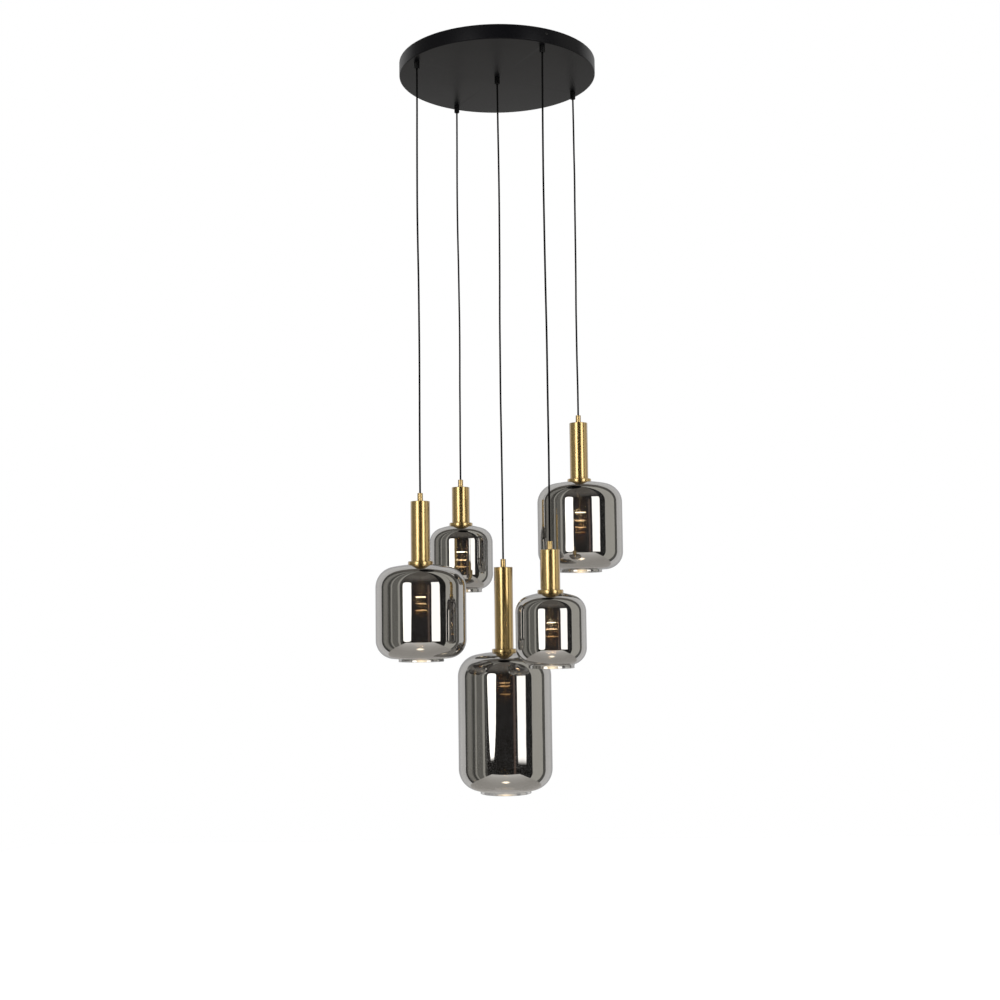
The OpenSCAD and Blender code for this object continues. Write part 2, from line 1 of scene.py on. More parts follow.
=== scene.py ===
# %% [markdown]
# # Cluster pendant light
# Five blown-glass shades hang on black cords from one round canopy. Each shade is clamped
# under a brass sleeve that hides the lampholder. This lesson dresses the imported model: it keeps
# the solids that already look right, and makes finer pieces where the eye goes first, which are
# the mirror glass, the brass and the glowing lamps.

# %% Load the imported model
import math
import bpy
import bmesh
from mathutils import Matrix, Vector


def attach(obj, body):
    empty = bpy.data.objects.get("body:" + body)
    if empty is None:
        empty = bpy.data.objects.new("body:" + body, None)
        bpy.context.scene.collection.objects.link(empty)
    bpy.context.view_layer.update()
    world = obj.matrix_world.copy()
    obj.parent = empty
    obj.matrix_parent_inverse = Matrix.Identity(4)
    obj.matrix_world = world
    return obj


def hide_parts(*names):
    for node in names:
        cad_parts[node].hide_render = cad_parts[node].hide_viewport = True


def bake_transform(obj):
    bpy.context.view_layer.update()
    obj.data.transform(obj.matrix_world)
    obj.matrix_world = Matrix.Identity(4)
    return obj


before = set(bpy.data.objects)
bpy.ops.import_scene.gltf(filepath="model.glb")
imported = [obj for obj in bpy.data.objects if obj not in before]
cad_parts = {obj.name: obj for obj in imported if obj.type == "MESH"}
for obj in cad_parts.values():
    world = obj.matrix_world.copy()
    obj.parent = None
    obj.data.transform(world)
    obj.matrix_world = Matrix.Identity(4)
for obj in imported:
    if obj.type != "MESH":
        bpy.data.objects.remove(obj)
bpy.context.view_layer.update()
mm = 0.001

# %% [markdown]
# ## The camera
# The photograph was taken from below the middle of the cluster, looking slightly upwards with
# a normal lens. The cords lie on the model's axes, so the camera stands off to one side of
# them, `view_turn` round from the front. Three unit vectors make its rotation.

# %% Camera
view_turn = 0.50476
camera_far = 3.49233
camera_height = -1.40643
camera_pitch = math.radians(4.6869)
camera_roll = -0.0123589
camera_aside = 0.0017061
heading = view_turn - camera_aside

towards = Vector((math.sin(heading) * math.cos(camera_pitch),
                  math.cos(heading) * math.cos(camera_pitch),
                  math.sin(camera_pitch)))
level = Vector((math.cos(heading), -math.sin(heading), 0))
upright = level.cross(towards)
right = math.cos(camera_roll) * level + math.sin(camera_roll) * upright
up = right.cross(towards)
turn = Matrix((right, up, -towards)).transposed().to_4x4()

camera = bpy.data.objects.new("Camera", bpy.data.cameras.new("Camera"))
camera.data.sensor_width = 36
camera.data.lens = 50.459
camera.data.clip_end = 60
camera.matrix_world = Matrix.Translation((-camera_far * math.sin(view_turn),
                                          -camera_far * math.cos(view_turn),
                                          camera_height)) @ turn
bpy.context.scene.collection.objects.link(camera)
bpy.context.scene.camera = camera
print("camera at", [round(x, 3) for x in camera.location])

# %% [markdown]
# ## Places and sizes
# Every pendant has a place in plan, a depth of its glass top below the ceiling and one of three
# styles. They are written here once, in millimetres, as a workshop drawing would list them.

# %% Places and styles
PENDANTS = {
    "left": ((-227.5, 0), 1283, "large"),
    "back": ((0, 227.5), 1171, "small"),
    "centre": ((0, 0), 1498, "tall"),
    "front": ((0, -227.5), 1357, "small"),
    "right": ((227.5, 0), 1067, "large"),
}
STYLES = {
    "small": dict(width=166, height=175, dome=180, shoulder=40, corner=40, foot=107, sleeve=94),
    "large": dict(width=218, height=233, dome=350, shoulder=50, corner=45, foot=109, sleeve=145),
    "tall": dict(width=231, height=345, dome=350, shoulder=55, corner=53, foot=125, sleeve=202),
}
collar_top = 8
grip_height = 20
plan = [place for place, _, _ in PENDANTS.values()]


def place_of(name):
    """The middle of a pendant's glass top, in metres."""
    (x, y), drop, _ = PENDANTS[name]
    return Vector((x, y, -drop)) * mm


def style_of(name):
    """The sizes of a pendant's style, in millimetres."""
    return STYLES[PENDANTS[name][2]]


for name in PENDANTS:
    print(name, "glass top", [round(v, 4) for v in place_of(name)])

# %% [markdown]
# ## Finishes
# A finish is a small tree of nodes. `put` adds one node, sets its properties and wires or fills
# its sockets, so a whole tree reads like a list. Patterns use object coordinates, where every
# piece sits in the same frame, or the piece's own UV map, where u runs round it and v along it.

# %% Node helper


def put(tree, kind, sockets=None, **settings):
    """Adds a node; sockets maps a socket's name or number to a value or to another socket."""
    node = tree.nodes.new(kind)
    for key, value in settings.items():
        setattr(node, key, value)
    for key, value in (sockets or {}).items():
        if isinstance(value, bpy.types.NodeSocket):
            tree.links.new(value, node.inputs[key])
        else:
            node.inputs[key].default_value = value
    return node


def maths(tree, operation, *values):
    """A Math node's result; values are numbers or sockets."""
    node = put(tree, "ShaderNodeMath", dict(enumerate(values)), operation=operation)
    return node.outputs[0]


def finish(name, **sockets):
    """A material with one Principled shader, whose plain values are given here."""
    made = bpy.data.materials.new(name)
    made.use_nodes = True
    tree = made.node_tree
    tree.nodes.clear()
    print("finish", name)
    shader = put(tree, "ShaderNodeBsdfPrincipled",
                 {key.replace("_", " "): value for key, value in sockets.items()})
    put(tree, "ShaderNodeOutputMaterial", {"Surface": shader.outputs[0]})
    return made, tree, shader


def coordinates(tree, kind="Object", scale=(1, 1, 1)):
    """Object or UV coordinates, stretched by scale."""
    source = put(tree, "ShaderNodeTexCoord")
    return put(tree, "ShaderNodeMapping",
               {"Vector": source.outputs[kind], "Scale": scale}).outputs[0]


def noise(tree, vector, size, detail=2.0):
    """Soft random tones from 0 to 1; a larger size gives a finer pattern."""
    return put(tree, "ShaderNodeTexNoise",
               {"Vector": vector, "Scale": size, "Detail": detail}).outputs[0]


def blend_colours(tree, amount, first, second):
    """The first colour where amount is 0 and the second where it is 1."""
    node = put(tree, "ShaderNodeMix", {0: amount, 6: (*first, 1), 7: (*second, 1)},
               data_type="RGBA")
    return node.outputs[2]


def spread(tree, value, low, high):
    """Maps a value from 0..1 to low..high."""
    return put(tree, "ShaderNodeMapRange", {0: value, 3: low, 4: high}).outputs[0]


def bump(tree, shader, height, depth):
    """Raises the surface by height times depth, in metres."""
    node = put(tree, "ShaderNodeBump", {"Height": height, "Distance": depth, "Strength": 1.0})
    tree.links.new(node.outputs[0], shader.inputs["Normal"])


# %% [markdown]
# The shades are glass with a thin vacuum-laid metal film. The film reflects a little over a
# third of the light and lets some through, so the lamp can be seen in it. A metallic surface
# with a grey colour and a part of alpha does both. The film thins out at the foot, where the
# attribute "film" falls, and a warm glow is painted on the bare glass there as emission,
# strongest where it faces the eye. Blown glass is never quite flat, and slow waves in the normal
# bend the reflections slightly.

# %% Smoked mirror glass
smoked, tree, shader = finish("smoked_mirror_glass", Metallic=1.0, Roughness=0.012,
                              Emission_Color=(1.0, 0.78, 0.5, 1))
film = put(tree, "ShaderNodeAttribute", attribute_name="film").outputs["Fac"]
tree.links.new(spread(tree, film, 0.74, 0.9), shader.inputs["Alpha"])
# Painted glow: the bare glass at the foot emits warm light where it faces the eye, though it is no
# lamp.
facing = put(tree, "ShaderNodeLayerWeight", {"Blend": 0.5}).outputs["Facing"]
painted_glow_facing = maths(tree, "POWER", maths(tree, "SUBTRACT", 1.0, facing), 30.0)
tree.links.new(maths(tree, "MULTIPLY", painted_glow_facing, spread(tree, film, 1.5, 0.0)),
               shader.inputs["Emission Strength"])
flow = noise(tree, coordinates(tree, scale=(1, 1, 0.45)), 24.0, 1.0)
tree.links.new(blend_colours(tree, flow, (0.405, 0.395, 0.38), (0.435, 0.425, 0.41)),
               shader.inputs["Base Color"])
bump(tree, shader, flow, 0.00022)

inner, tree, shader = finish("glass_inside", Roughness=0.02, Alpha=0.08, IOR=1.5)
tint = noise(tree, coordinates(tree), 30.0, 1.0)
tree.links.new(blend_colours(tree, tint, (0.02, 0.02, 0.018), (0.05, 0.045, 0.04)),
               shader.inputs["Base Color"])

# %% [markdown]
# The brass is turned on a lathe, brushed to satin and lacquered. Its fine marks run round the
# part, so the pattern is stretched far along u and is fine along v. An anisotropic shader could
# streak the gloss instead, but marks in the surface also hold up when seen close. Where the
# surface turns away from the eye, painted shade darkens the old-gold colour to brown.

# %% Satin brass
brass, tree, shader = finish("satin_brass", Metallic=1.0, Coat_Weight=0.8, Coat_Roughness=0.14,
                             Coat_IOR=1.7)
marks = noise(tree, coordinates(tree, "UV", (5, 3500, 1)), 1.0)
cloud = noise(tree, coordinates(tree), 30.0)
gold = blend_colours(tree, cloud, (0.68, 0.475, 0.18), (0.70, 0.49, 0.19))
# Painted shade: the colour turns dark brown where the surface turns away from the eye.
painted_edge_shade = put(tree, "ShaderNodeLayerWeight", {"Blend": 0.45}).outputs["Facing"]
tree.links.new(put(tree, "ShaderNodeMix", {0: painted_edge_shade, 6: gold, 7: (0.15, 0.09, 0.026, 1)},
                   data_type="RGBA").outputs[2], shader.inputs["Base Color"])
tree.links.new(spread(tree, marks, 0.24, 0.27), shader.inputs["Roughness"])
bump(tree, shader, marks, 0.0000005)

# %% [markdown]
# The canopy is powder coated: black, satin, and slightly pebbled like the skin of an orange. A
# broad noise clouds its tone and gloss a little, and a fine one raises the pebbles as bump, because
# modelled pebbles would take millions of faces.

# %% Powder coat
powder, tree, shader = finish("black_powder_coat", Specular_IOR_Level=0.11)
pebble = noise(tree, coordinates(tree), 620.0)
tone = noise(tree, coordinates(tree), 7.0, 3.0)
tree.links.new(blend_colours(tree, tone, (0.003, 0.003, 0.0042), (0.0045, 0.0045, 0.0058)),
               shader.inputs["Base Color"])
tree.links.new(spread(tree, tone, 0.30, 0.38), shader.inputs["Roughness"])
bump(tree, shader, pebble, 0.00003)

# %% [markdown]
# Bright-zinc steel has a bluish grey skin in large soft grains. Voronoi cells give each grain
# its own tone, which plain noise can't. The rim screws are blackened steel with worn specks, and
# for those fine noise is enough.

# %% Zinc and dark steel
zinc, tree, shader = finish("zinc_plated_steel", Metallic=1.0)
grain = put(tree, "ShaderNodeTexVoronoi", {"Vector": coordinates(tree), "Scale": 160.0})
speck = put(tree, "ShaderNodeRGBToBW", {0: grain.outputs["Color"]}).outputs[0]
tree.links.new(blend_colours(tree, speck, (0.42, 0.44, 0.46), (0.60, 0.61, 0.62)),
               shader.inputs["Base Color"])
tree.links.new(spread(tree, speck, 0.28, 0.5), shader.inputs["Roughness"])
bump(tree, shader, noise(tree, coordinates(tree), 900.0), 0.000008)

dark_steel, tree, shader = finish("blackened_steel", Metallic=0.9)
wear = noise(tree, coordinates(tree), 700.0, 3.0)
tree.links.new(blend_colours(tree, wear, (0.012, 0.012, 0.013), (0.06, 0.06, 0.062)),
               shader.inputs["Base Color"])
tree.links.new(spread(tree, wear, 0.3, 0.5), shader.inputs["Roughness"])
bump(tree, shader, wear, 0.00001)

# %% [markdown]
# The junction box, terminal block, ceiling grips and lampholders are moulded plastic. They
# differ only in tone, gloss and the grain of the mould, so one function makes all four finishes.
# An image could hold that grain too, but noise needs no file and has no seams.

# %% Moulded plastics


def moulded(name, dark, light, rough, grain_size, depth, gloss=0.5):
    """A moulded plastic: two close tones and the fine grain of its mould."""
    made, tree, shader = finish(name, IOR=1.47, Specular_IOR_Level=gloss)
    tone = noise(tree, coordinates(tree), 60.0)
    skin = noise(tree, coordinates(tree), grain_size)
    tree.links.new(blend_colours(tree, tone, dark, light), shader.inputs["Base Color"])
    tree.links.new(spread(tree, skin, rough - 0.06, rough + 0.06), shader.inputs["Roughness"])
    bump(tree, shader, skin, depth)
    return made


box_plastic = moulded("box_plastic", (0.66, 0.64, 0.58), (0.72, 0.70, 0.64), 0.45, 1500.0, 0.00002)
terminal_plastic = moulded("terminal_plastic", (0.78, 0.76, 0.70), (0.84, 0.82, 0.76), 0.4,
                           1100.0, 0.00001)
grip_plastic = moulded("grip_nylon", (0.004, 0.004, 0.0045), (0.007, 0.007, 0.0075), 0.4,
                       1300.0, 0.00001, gloss=0.12)
holder_plastic = moulded("holder_black", (0.012, 0.011, 0.011), (0.022, 0.02, 0.019), 0.3,
                         900.0, 0.00001)

# %% [markdown]
# The cord has a braided black sleeve. Woven yarns as geometry would take millions of faces for
# lines this thin. So two sets of slanting waves on the UV map cross each other, and the higher of
# the two is the yarn on top. That height raises the yarns as bump, and it darkens the gaps
# between them as painted shade.

# %% Braided cord
cord_finish, tree, shader = finish("braided_cord", Roughness=0.8, Specular_IOR_Level=0.05)
strands = 12
pitch = 0.009
uv = put(tree, "ShaderNodeSeparateXYZ", {0: coordinates(tree, "UV")})
run = maths(tree, "DIVIDE", uv.outputs[1], pitch)
yarns = []
for way in (1, -1):
    phase = maths(tree, "MULTIPLY_ADD", run, float(way * strands / 2), 0.0)
    turns = maths(tree, "MULTIPLY_ADD", uv.outputs[0], float(strands), phase)
    yarns.append(maths(tree, "COSINE", maths(tree, "MULTIPLY", turns, 2 * math.pi)))
yarn_and_gap_shade = spread(tree, maths(tree, "MAXIMUM", *yarns), 0.0, 1.0)
# Painted shade: the gaps between the yarns are darker than their crests.
tree.links.new(blend_colours(tree, yarn_and_gap_shade, (0.0015, 0.0015, 0.0015), (0.005, 0.005, 0.0053)),
               shader.inputs["Base Color"])
bump(tree, shader, yarn_and_gap_shade, 0.00003)

# %% [markdown]
# The lamp is clear, faintly amber glass round a glowing coil. Its bright parts are an emission
# whose colour and strength follow the attribute "glow", because the coils burn unevenly.

# %% Lamp glass, cap metal and filament
lamp_glass, tree, shader = finish("lamp_glass", Roughness=0.03, Alpha=0.09, IOR=1.45)
haze = noise(tree, coordinates(tree), 45.0)
tree.links.new(blend_colours(tree, haze, (0.72, 0.60, 0.42), (0.85, 0.75, 0.58)),
               shader.inputs["Base Color"])

nickel, tree, shader = finish("cap_nickel", Metallic=1.0)
dull = noise(tree, coordinates(tree), 260.0, 3.0)
tree.links.new(blend_colours(tree, dull, (0.58, 0.55, 0.50), (0.70, 0.67, 0.61)),
               shader.inputs["Base Color"])
tree.links.new(spread(tree, dull, 0.22, 0.4), shader.inputs["Roughness"])

mount_glass, tree, shader = finish("mount_glass", Roughness=0.08, Alpha=0.5, IOR=1.5)
milk = noise(tree, coordinates(tree), 300.0)
tree.links.new(blend_colours(tree, milk, (0.55, 0.5, 0.42), (0.8, 0.76, 0.68)),
               shader.inputs["Base Color"])

filament, tree, shader = finish("glowing_filament", Roughness=0.5)
heat = put(tree, "ShaderNodeAttribute", attribute_name="glow").outputs["Fac"]
tree.links.new(blend_colours(tree, heat, (1.0, 0.62, 0.26), (1.0, 0.86, 0.64)),
               shader.inputs["Emission Color"])
tree.links.new(spread(tree, heat, 3.0, 28.0), shader.inputs["Emission Strength"])
tree.links.new(blend_colours(tree, heat, (0.8, 0.4, 0.1), (0.9, 0.6, 0.3)),
               shader.inputs["Base Color"])
print(len(bpy.data.materials), "materials")

# %% [markdown]
# ## Turned parts
# Most of this lamp is round: glass blown into a round mould, and brass turned on a lathe. One
# Geometry Nodes tree does the lathe's work. It makes a grid with a row for each point of an
# outline and a column for each step of the turn, and puts every grid point where its outline
# point comes to. `Across flats` planes the round into a hexagon, which makes a nut whose
# chamfer has the right curve by itself. The tree also writes the UV map: u round the part, v
# along the outline in metres. A Screw modifier could turn an outline as well, but its map would
# not run in metres, and it makes no hexagon.

# %% The lathe tree
# Flats this far apart, in metres, leave all round parts round; only the floor is wider
ROUND = 10.0


def tree_with_inputs(name, inputs):
    """A new tree with named inputs; gives the tree and the sockets that carry them."""
    tree = bpy.data.node_groups.new(name, "GeometryNodeTree")
    for label, kind in inputs.items():
        tree.interface.new_socket(label, in_out="INPUT", socket_type="NodeSocket" + kind)
    tree.interface.new_socket("Geometry", in_out="OUTPUT", socket_type="NodeSocketGeometry")
    return tree, put(tree, "NodeGroupInput").outputs


def end_tree(tree, geometry, material):
    """Every tree ends in real geometry with its finish on it."""
    real = put(tree, "GeometryNodeRealizeInstances", {0: geometry})
    dressed = put(tree, "GeometryNodeSetMaterial", {"Geometry": real.outputs[0],
                                                    "Material": material})
    put(tree, "NodeGroupOutput", {0: dressed.outputs[0]})


lathe, given = tree_with_inputs("Lathe", {
    "Geometry": "Geometry", "Steps": "Int", "Across flats": "Float", "Place": "Vector",
    "Finish": "Material"})
rows = put(lathe, "GeometryNodeAttributeDomainSize", {0: given["Geometry"]}).outputs[0]
columns = put(lathe, "FunctionNodeIntegerMath", {0: given["Steps"], 1: 1},
              operation="ADD").outputs[0]
grid = put(lathe, "GeometryNodeMeshGrid", {"Vertices X": rows, "Vertices Y": columns}).outputs[0]
index = put(lathe, "GeometryNodeInputIndex").outputs[0]
row = put(lathe, "FunctionNodeIntegerMath", {0: index, 1: columns},
          operation="DIVIDE_FLOOR").outputs[0]
column = put(lathe, "FunctionNodeIntegerMath", {0: index, 1: columns},
             operation="MODULO").outputs[0]
outline_point = put(lathe, "GeometryNodeSampleIndex",
                    {"Geometry": given["Geometry"], "Index": row,
                     "Value": put(lathe, "GeometryNodeInputPosition").outputs[0]},
                    data_type="FLOAT_VECTOR").outputs[0]
outline_run = put(lathe, "GeometryNodeSampleIndex",
                  {"Geometry": given["Geometry"], "Index": row,
                   "Value": put(lathe, "GeometryNodeInputNamedAttribute",
                                {"Name": "run"}).outputs[0]}).outputs[0]
share = maths(lathe, "DIVIDE", column, given["Steps"])
angle = maths(lathe, "MULTIPLY", share, 2 * math.pi)
off_flat = maths(lathe, "SUBTRACT",
                 maths(lathe, "FLOORED_MODULO", maths(lathe, "ADD", angle, math.pi / 6),
                       math.pi / 3), math.pi / 6)
flat_reach = maths(lathe, "DIVIDE", maths(lathe, "MULTIPLY", given["Across flats"], 0.5),
                   maths(lathe, "COSINE", off_flat))
split = put(lathe, "ShaderNodeSeparateXYZ", {0: outline_point}).outputs
radius = maths(lathe, "MINIMUM", split[0], flat_reach)
turned_point = put(lathe, "ShaderNodeVectorRotate",
                   {"Vector": put(lathe, "ShaderNodeCombineXYZ",
                                  {0: radius, 2: split[2]}).outputs[0], "Angle": angle},
                   rotation_type="Z_AXIS").outputs[0]
formed = put(lathe, "GeometryNodeSetPosition", {"Geometry": grid, "Position": turned_point})
mapped = put(lathe, "GeometryNodeStoreNamedAttribute",
             {"Geometry": formed.outputs[0], "Name": "UVMap",
              "Value": put(lathe, "ShaderNodeCombineXYZ",
                           {0: share, 1: outline_run}).outputs[0]},
             data_type="FLOAT2", domain="CORNER")
closed = put(lathe, "GeometryNodeMergeByDistance", {"Geometry": mapped.outputs[0],
                                                    "Distance": 2e-6})
placed = put(lathe, "GeometryNodeSetPosition", {"Geometry": closed.outputs[0],
                                                "Offset": given["Place"]})
end_tree(lathe, placed.outputs[0], given["Finish"])
print("the lathe tree has", len(lathe.nodes), "nodes")

# %% [markdown]
# An outline is a list of points (radius, height) in millimetres. A third number rounds that
# corner: the outline leaves it that far before, and joins again that far after, on a short
# curve. It works on a straight edge and on a run of small steps alike. A bevel on the finished
# mesh could round the corners too, but it would have to find them first. Two more helpers draw
# what comes back on several parts: a thread, and the flared mouth of a cord's bore.

# %% Outlines with rounded corners
thread_depth = .35
cord_bore = 2.5
mouth_flare = 1.6
mouth_depth = 5


def rounded(points, closed=True, steps=5):
    """The outline with each corner that has a third number rounded off."""
    path = [(Vector(p[:2]), p[2] if len(p) > 2 else 0) for p in points]

    def walk(start, way, reach):
        """Goes reach along the path; gives the point and the first corner beyond it."""
        here, at = path[start][0], start
        while True:
            after = (at + way) % len(path)
            step = (path[after][0] - here).length
            if step > reach or not closed and after in (0, len(path) - 1):
                return here.lerp(path[after][0], min(1, reach / max(step, 1e-9))), after
            reach -= step
            here, at = path[after][0], after

    made = []
    skip = set()
    cuts = {}
    for i, (corner, reach) in enumerate(path):
        if reach:
            (a, last), (b, first) = walk(i, -1, reach), walk(i, 1, reach)
            curve = [a.lerp(corner, t).lerp(corner.lerp(b, t), t)
                     for t in (k / steps for k in range(steps + 1))]
            cuts[i] = curve
            j = (last + 1) % len(path)
            while j != first:
                if j != i:
                    skip.add(j)
                j = (j + 1) % len(path)
    for i, (corner, reach) in enumerate(path):
        made += cuts.get(i, [] if i in skip else [corner])
    if closed:
        made.append(made[0])
    return made


def arc(centre, radius, start, end, steps):
    """Points on a circle; angles in degrees from straight up, turning outwards."""
    return [(centre[0] + radius * math.sin(math.radians(a)),
             centre[1] + radius * math.cos(math.radians(a)))
            for a in (start + (end - start) * k / steps for k in range(steps + 1))]


def ridges(radius, start, pitch, count):
    """A thread seen from the side, as a zigzag of count points that rises from start."""
    return [(radius - thread_depth * (k % 2), start + k * pitch) for k in range(count)]


def mouth(rim, way):
    """Points from a bore's throat to its rim; way is 1 if it opens downwards, -1 upwards."""
    return [(cord_bore + mouth_flare * (1 - math.cos(a)),
             rim + way * mouth_depth * (1 - math.sin(a)))
            for a in (math.radians(degrees) for degrees in range(0, 91, 15))]


print(len(mouth(0, 1)), "points in a mouth")

# %% [markdown]
# Every turned part goes the same way. Its outline becomes an object, the tree turns it, and the
# result is kept as plain mesh, because the export needs real faces. Then its faces are made to
# point outwards, and it gets its body, while the nodes that it stands for are hidden.

# %% Turning, settling and placing


def with_nodes(obj, tree, values):
    """Runs a tree on obj and keeps the result as plain mesh, without empty finish slots."""
    modifier = obj.modifiers.new(tree.name, "NODES")
    modifier.node_group = tree
    sockets = {s.name: s.identifier for s in tree.interface.items_tree if s.in_out == "INPUT"}
    for label, value in values.items():
        modifier[sockets[label]] = value
    shape = bpy.data.meshes.new_from_object(
        obj.evaluated_get(bpy.context.evaluated_depsgraph_get()))
    obj.modifiers.clear()
    while shape.materials and shape.materials[0] is None:
        slots = [face.material_index for face in shape.polygons]
        shape.materials.pop(index=0)
        shape.polygons.foreach_set("material_index", [max(0, s - 1) for s in slots])
    obj.data = shape
    return obj


def tidy_mesh(obj, sharp=35):
    """Faces point outwards, and edges flatter than `sharp` degrees shade smoothly."""
    mesh = bmesh.new()
    mesh.from_mesh(obj.data)
    bmesh.ops.recalc_face_normals(mesh, faces=mesh.faces)
    mesh.to_mesh(obj.data)
    mesh.free()
    obj.data.shade_smooth()
    obj.data.set_sharp_from_angle(angle=math.radians(sharp))
    return obj


def new_object(name, points):
    """An object in the scene whose mesh holds only the points."""
    mesh = bpy.data.meshes.new(name)
    mesh.from_pydata(points, (), ())
    obj = bpy.data.objects.new(name, mesh)
    bpy.context.scene.collection.objects.link(obj)
    return obj


def turned(name, outline, material, place=(0, 0, 0), steps=96, flats=None, sharp=35):
    """A turned part from its outline in millimetres."""
    obj = new_object(name, [(x * mm, 0, z * mm) for x, z in outline])
    runs = [0.0]
    for a, b in zip(outline, outline[1:]):
        runs.append(runs[-1] + (Vector(b) - Vector(a)).length * mm)
    obj.data.attributes.new("run", "FLOAT", "POINT").data.foreach_set("value", runs)
    with_nodes(obj, lathe, {"Steps": steps, "Across flats": flats * mm if flats else ROUND,
                            "Place": place, "Finish": material})
    return tidy_mesh(obj, sharp)


def dress(obj, body, slot, *nodes):
    """Gives a finished piece its body and hides the nodes that it stands for; slot is not used."""
    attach(obj, body)
    if nodes:
        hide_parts(*nodes)
    print(f"{obj.name}: {len(obj.data.polygons)} faces, on {body}")
    return obj


# %% [markdown]
# ## The cords
# Each cord drops from the canopy to its brass grip, pulled nearly straight by the shade's
# weight. A cord that was wound on a reel keeps a slight wander, a millimetre or so to each side.
# The photograph shows each cord from end to end, so that is its length. Its route is a list of
# points: sideways steps in millimetres, evenly spaced down the cord.

# %% Cord routes
WANDER = {
    "left": [(0, .5), (-.5, 1), (-1, 1), (-1.5, .5), (-1, 0), (0, -.5), (.5, -.5), (1, 0),
             (1, .5), (.5, .5), (0, 0)],
    "back": [(-.5, 0), (-1, .5), (-1, 1), (-.5, 1), (.5, .5), (1, 0), (1.5, -.5), (1.5, 0),
             (1, .5), (.5, 0), (0, 0)],
    "centre": [(.5, 0), (1, -.5), (1, -1), (.5, -1), (0, -.5), (-1, 0), (-1, .5), (-1, 1),
               (-.5, .5), (0, .5), (0, 0)],
    "front": [(-1, 0), (-1.5, .5), (-2, .5), (-2, 0), (-1.5, 0), (-1, -.5), (0, -.5), (.5, 0),
              (1, .5), (1, 0), (.5, 0)],
    "right": [(.5, 0), (1, .5), (1.5, .5), (1, .5), (.5, 0), (0, -.5), (-.5, -.5), (-1, 0),
              (-1, 0), (-.5, .5), (0, 0)],
}
cord_width = 4.6
cord_pivot = -47
cord_exit = -56
cord_into_grip = 4
cord_end = 41


def cord_route(name):
    """The route's points in metres, from inside the canopy's grip to inside the head."""
    (x, y), drop, _ = PENDANTS[name]
    head = -drop + collar_top + style_of(name)["sleeve"] + grip_height + cord_into_grip
    spans = len(WANDER[name]) + 1
    even = [(wx, wy, cord_exit + (head - cord_exit) * (i + 1) / spans)
            for i, (wx, wy) in enumerate(WANDER[name])]
    points = [(0, 0, cord_pivot), (0, 0, cord_exit), *even, (0, 0, head), (0, 0, -drop + cord_end)]
    return [Vector((x + px, y + py, pz)) * mm for px, py, pz in points]


print(len(cord_route("left")), "points in a cord's route")

# %% [markdown]
# A bevelled curve could make the tube, but its UV map would not run in metres, which the braid
# needs to keep its pitch. So rings of 20 corners are strung along a smooth curve.

# %% Tubes along a path
steps_per_span = 8


def smooth_path(points):
    """A curve that passes through the points, in small even steps."""
    ends = [2 * points[0] - points[1], *points, 2 * points[-1] - points[-2]]
    path = []
    for a, b, c, d in zip(ends, ends[1:], ends[2:], ends[3:]):
        for k in range(steps_per_span):
            t = k / steps_per_span
            path.append(0.5 * (2 * b + (c - a) * t + (2 * a - 5 * b + 4 * c - d) * t * t
                               + (3 * b - a - 3 * c + d) * t ** 3))
    return [*path, points[-1]]


def tube(name, path, radius, material, sides=20):
    """A closed tube along a path, with u round it and v along it in metres."""
    rings, runs, side = [], [0.0], Vector((0, 1, 0))
    for i, point in enumerate(path):
        ahead = (path[min(i + 1, len(path) - 1)] - path[max(i - 1, 0)]).normalized()
        side = (side - ahead * side.dot(ahead)).normalized()
        across = ahead.cross(side)
        rings.append([point + radius * (math.cos(a) * side + math.sin(a) * across)
                      for a in (2 * math.pi * k / sides for k in range(sides))])
        if i:
            runs.append(runs[-1] + (point - path[i - 1]).length)
    mesh = bmesh.new()
    uv_layer = mesh.loops.layers.uv.new("UVMap")
    corners = [[mesh.verts.new(p) for p in ring] for ring in rings]
    for i in range(len(rings) - 1):
        for k in range(sides):
            n = (k + 1) % sides
            face = mesh.faces.new((corners[i][k], corners[i][n], corners[i + 1][n],
                                   corners[i + 1][k]))
            for loop, (u, v) in zip(face.loops, ((k, i), (k + 1, i), (k + 1, i + 1), (k, i + 1))):
                loop[uv_layer].uv = (u / sides, runs[v])
    mesh.faces.new(corners[0][::-1])
    mesh.faces.new(corners[-1])
    obj = new_object(name, [])
    mesh.to_mesh(obj.data)
    mesh.free()
    obj.data.materials.append(material)
    return tidy_mesh(obj, 60)


# %% [markdown]
# When a pendant is raised, the cord's upper end stays in the ceiling grip, its lower end goes
# with the head, and the run between them shortens evenly. Here each tube is made once along its
# route, where it hangs, and takes the place of the model's cord.

# %% Hang the cords
for name in PENDANTS:
    path = smooth_path(cord_route(name))
    cord = tube(f"pendant_cord_{name}", path, cord_width / 2 * mm, cord_finish)
    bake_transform(cord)
    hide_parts(f"cord_{name}")

# %% [markdown]
# ## The shades
# The glass is blown into a mould, so its outline is a set of arcs that meet without a kink: a
# low dome, a round shoulder, a straight wall, a round lower corner and a short open foot. The
# same centres serve the inside, with every radius less the wall's thickness. The hole in the
# top is ground flat where the collar sits, and the foot's rim is melted round.

# %% Shade outline
wall = 2.5
neck = 42
seat = 30.5
foot_height = 7.5
film_rise = 12
film_start = 0.1


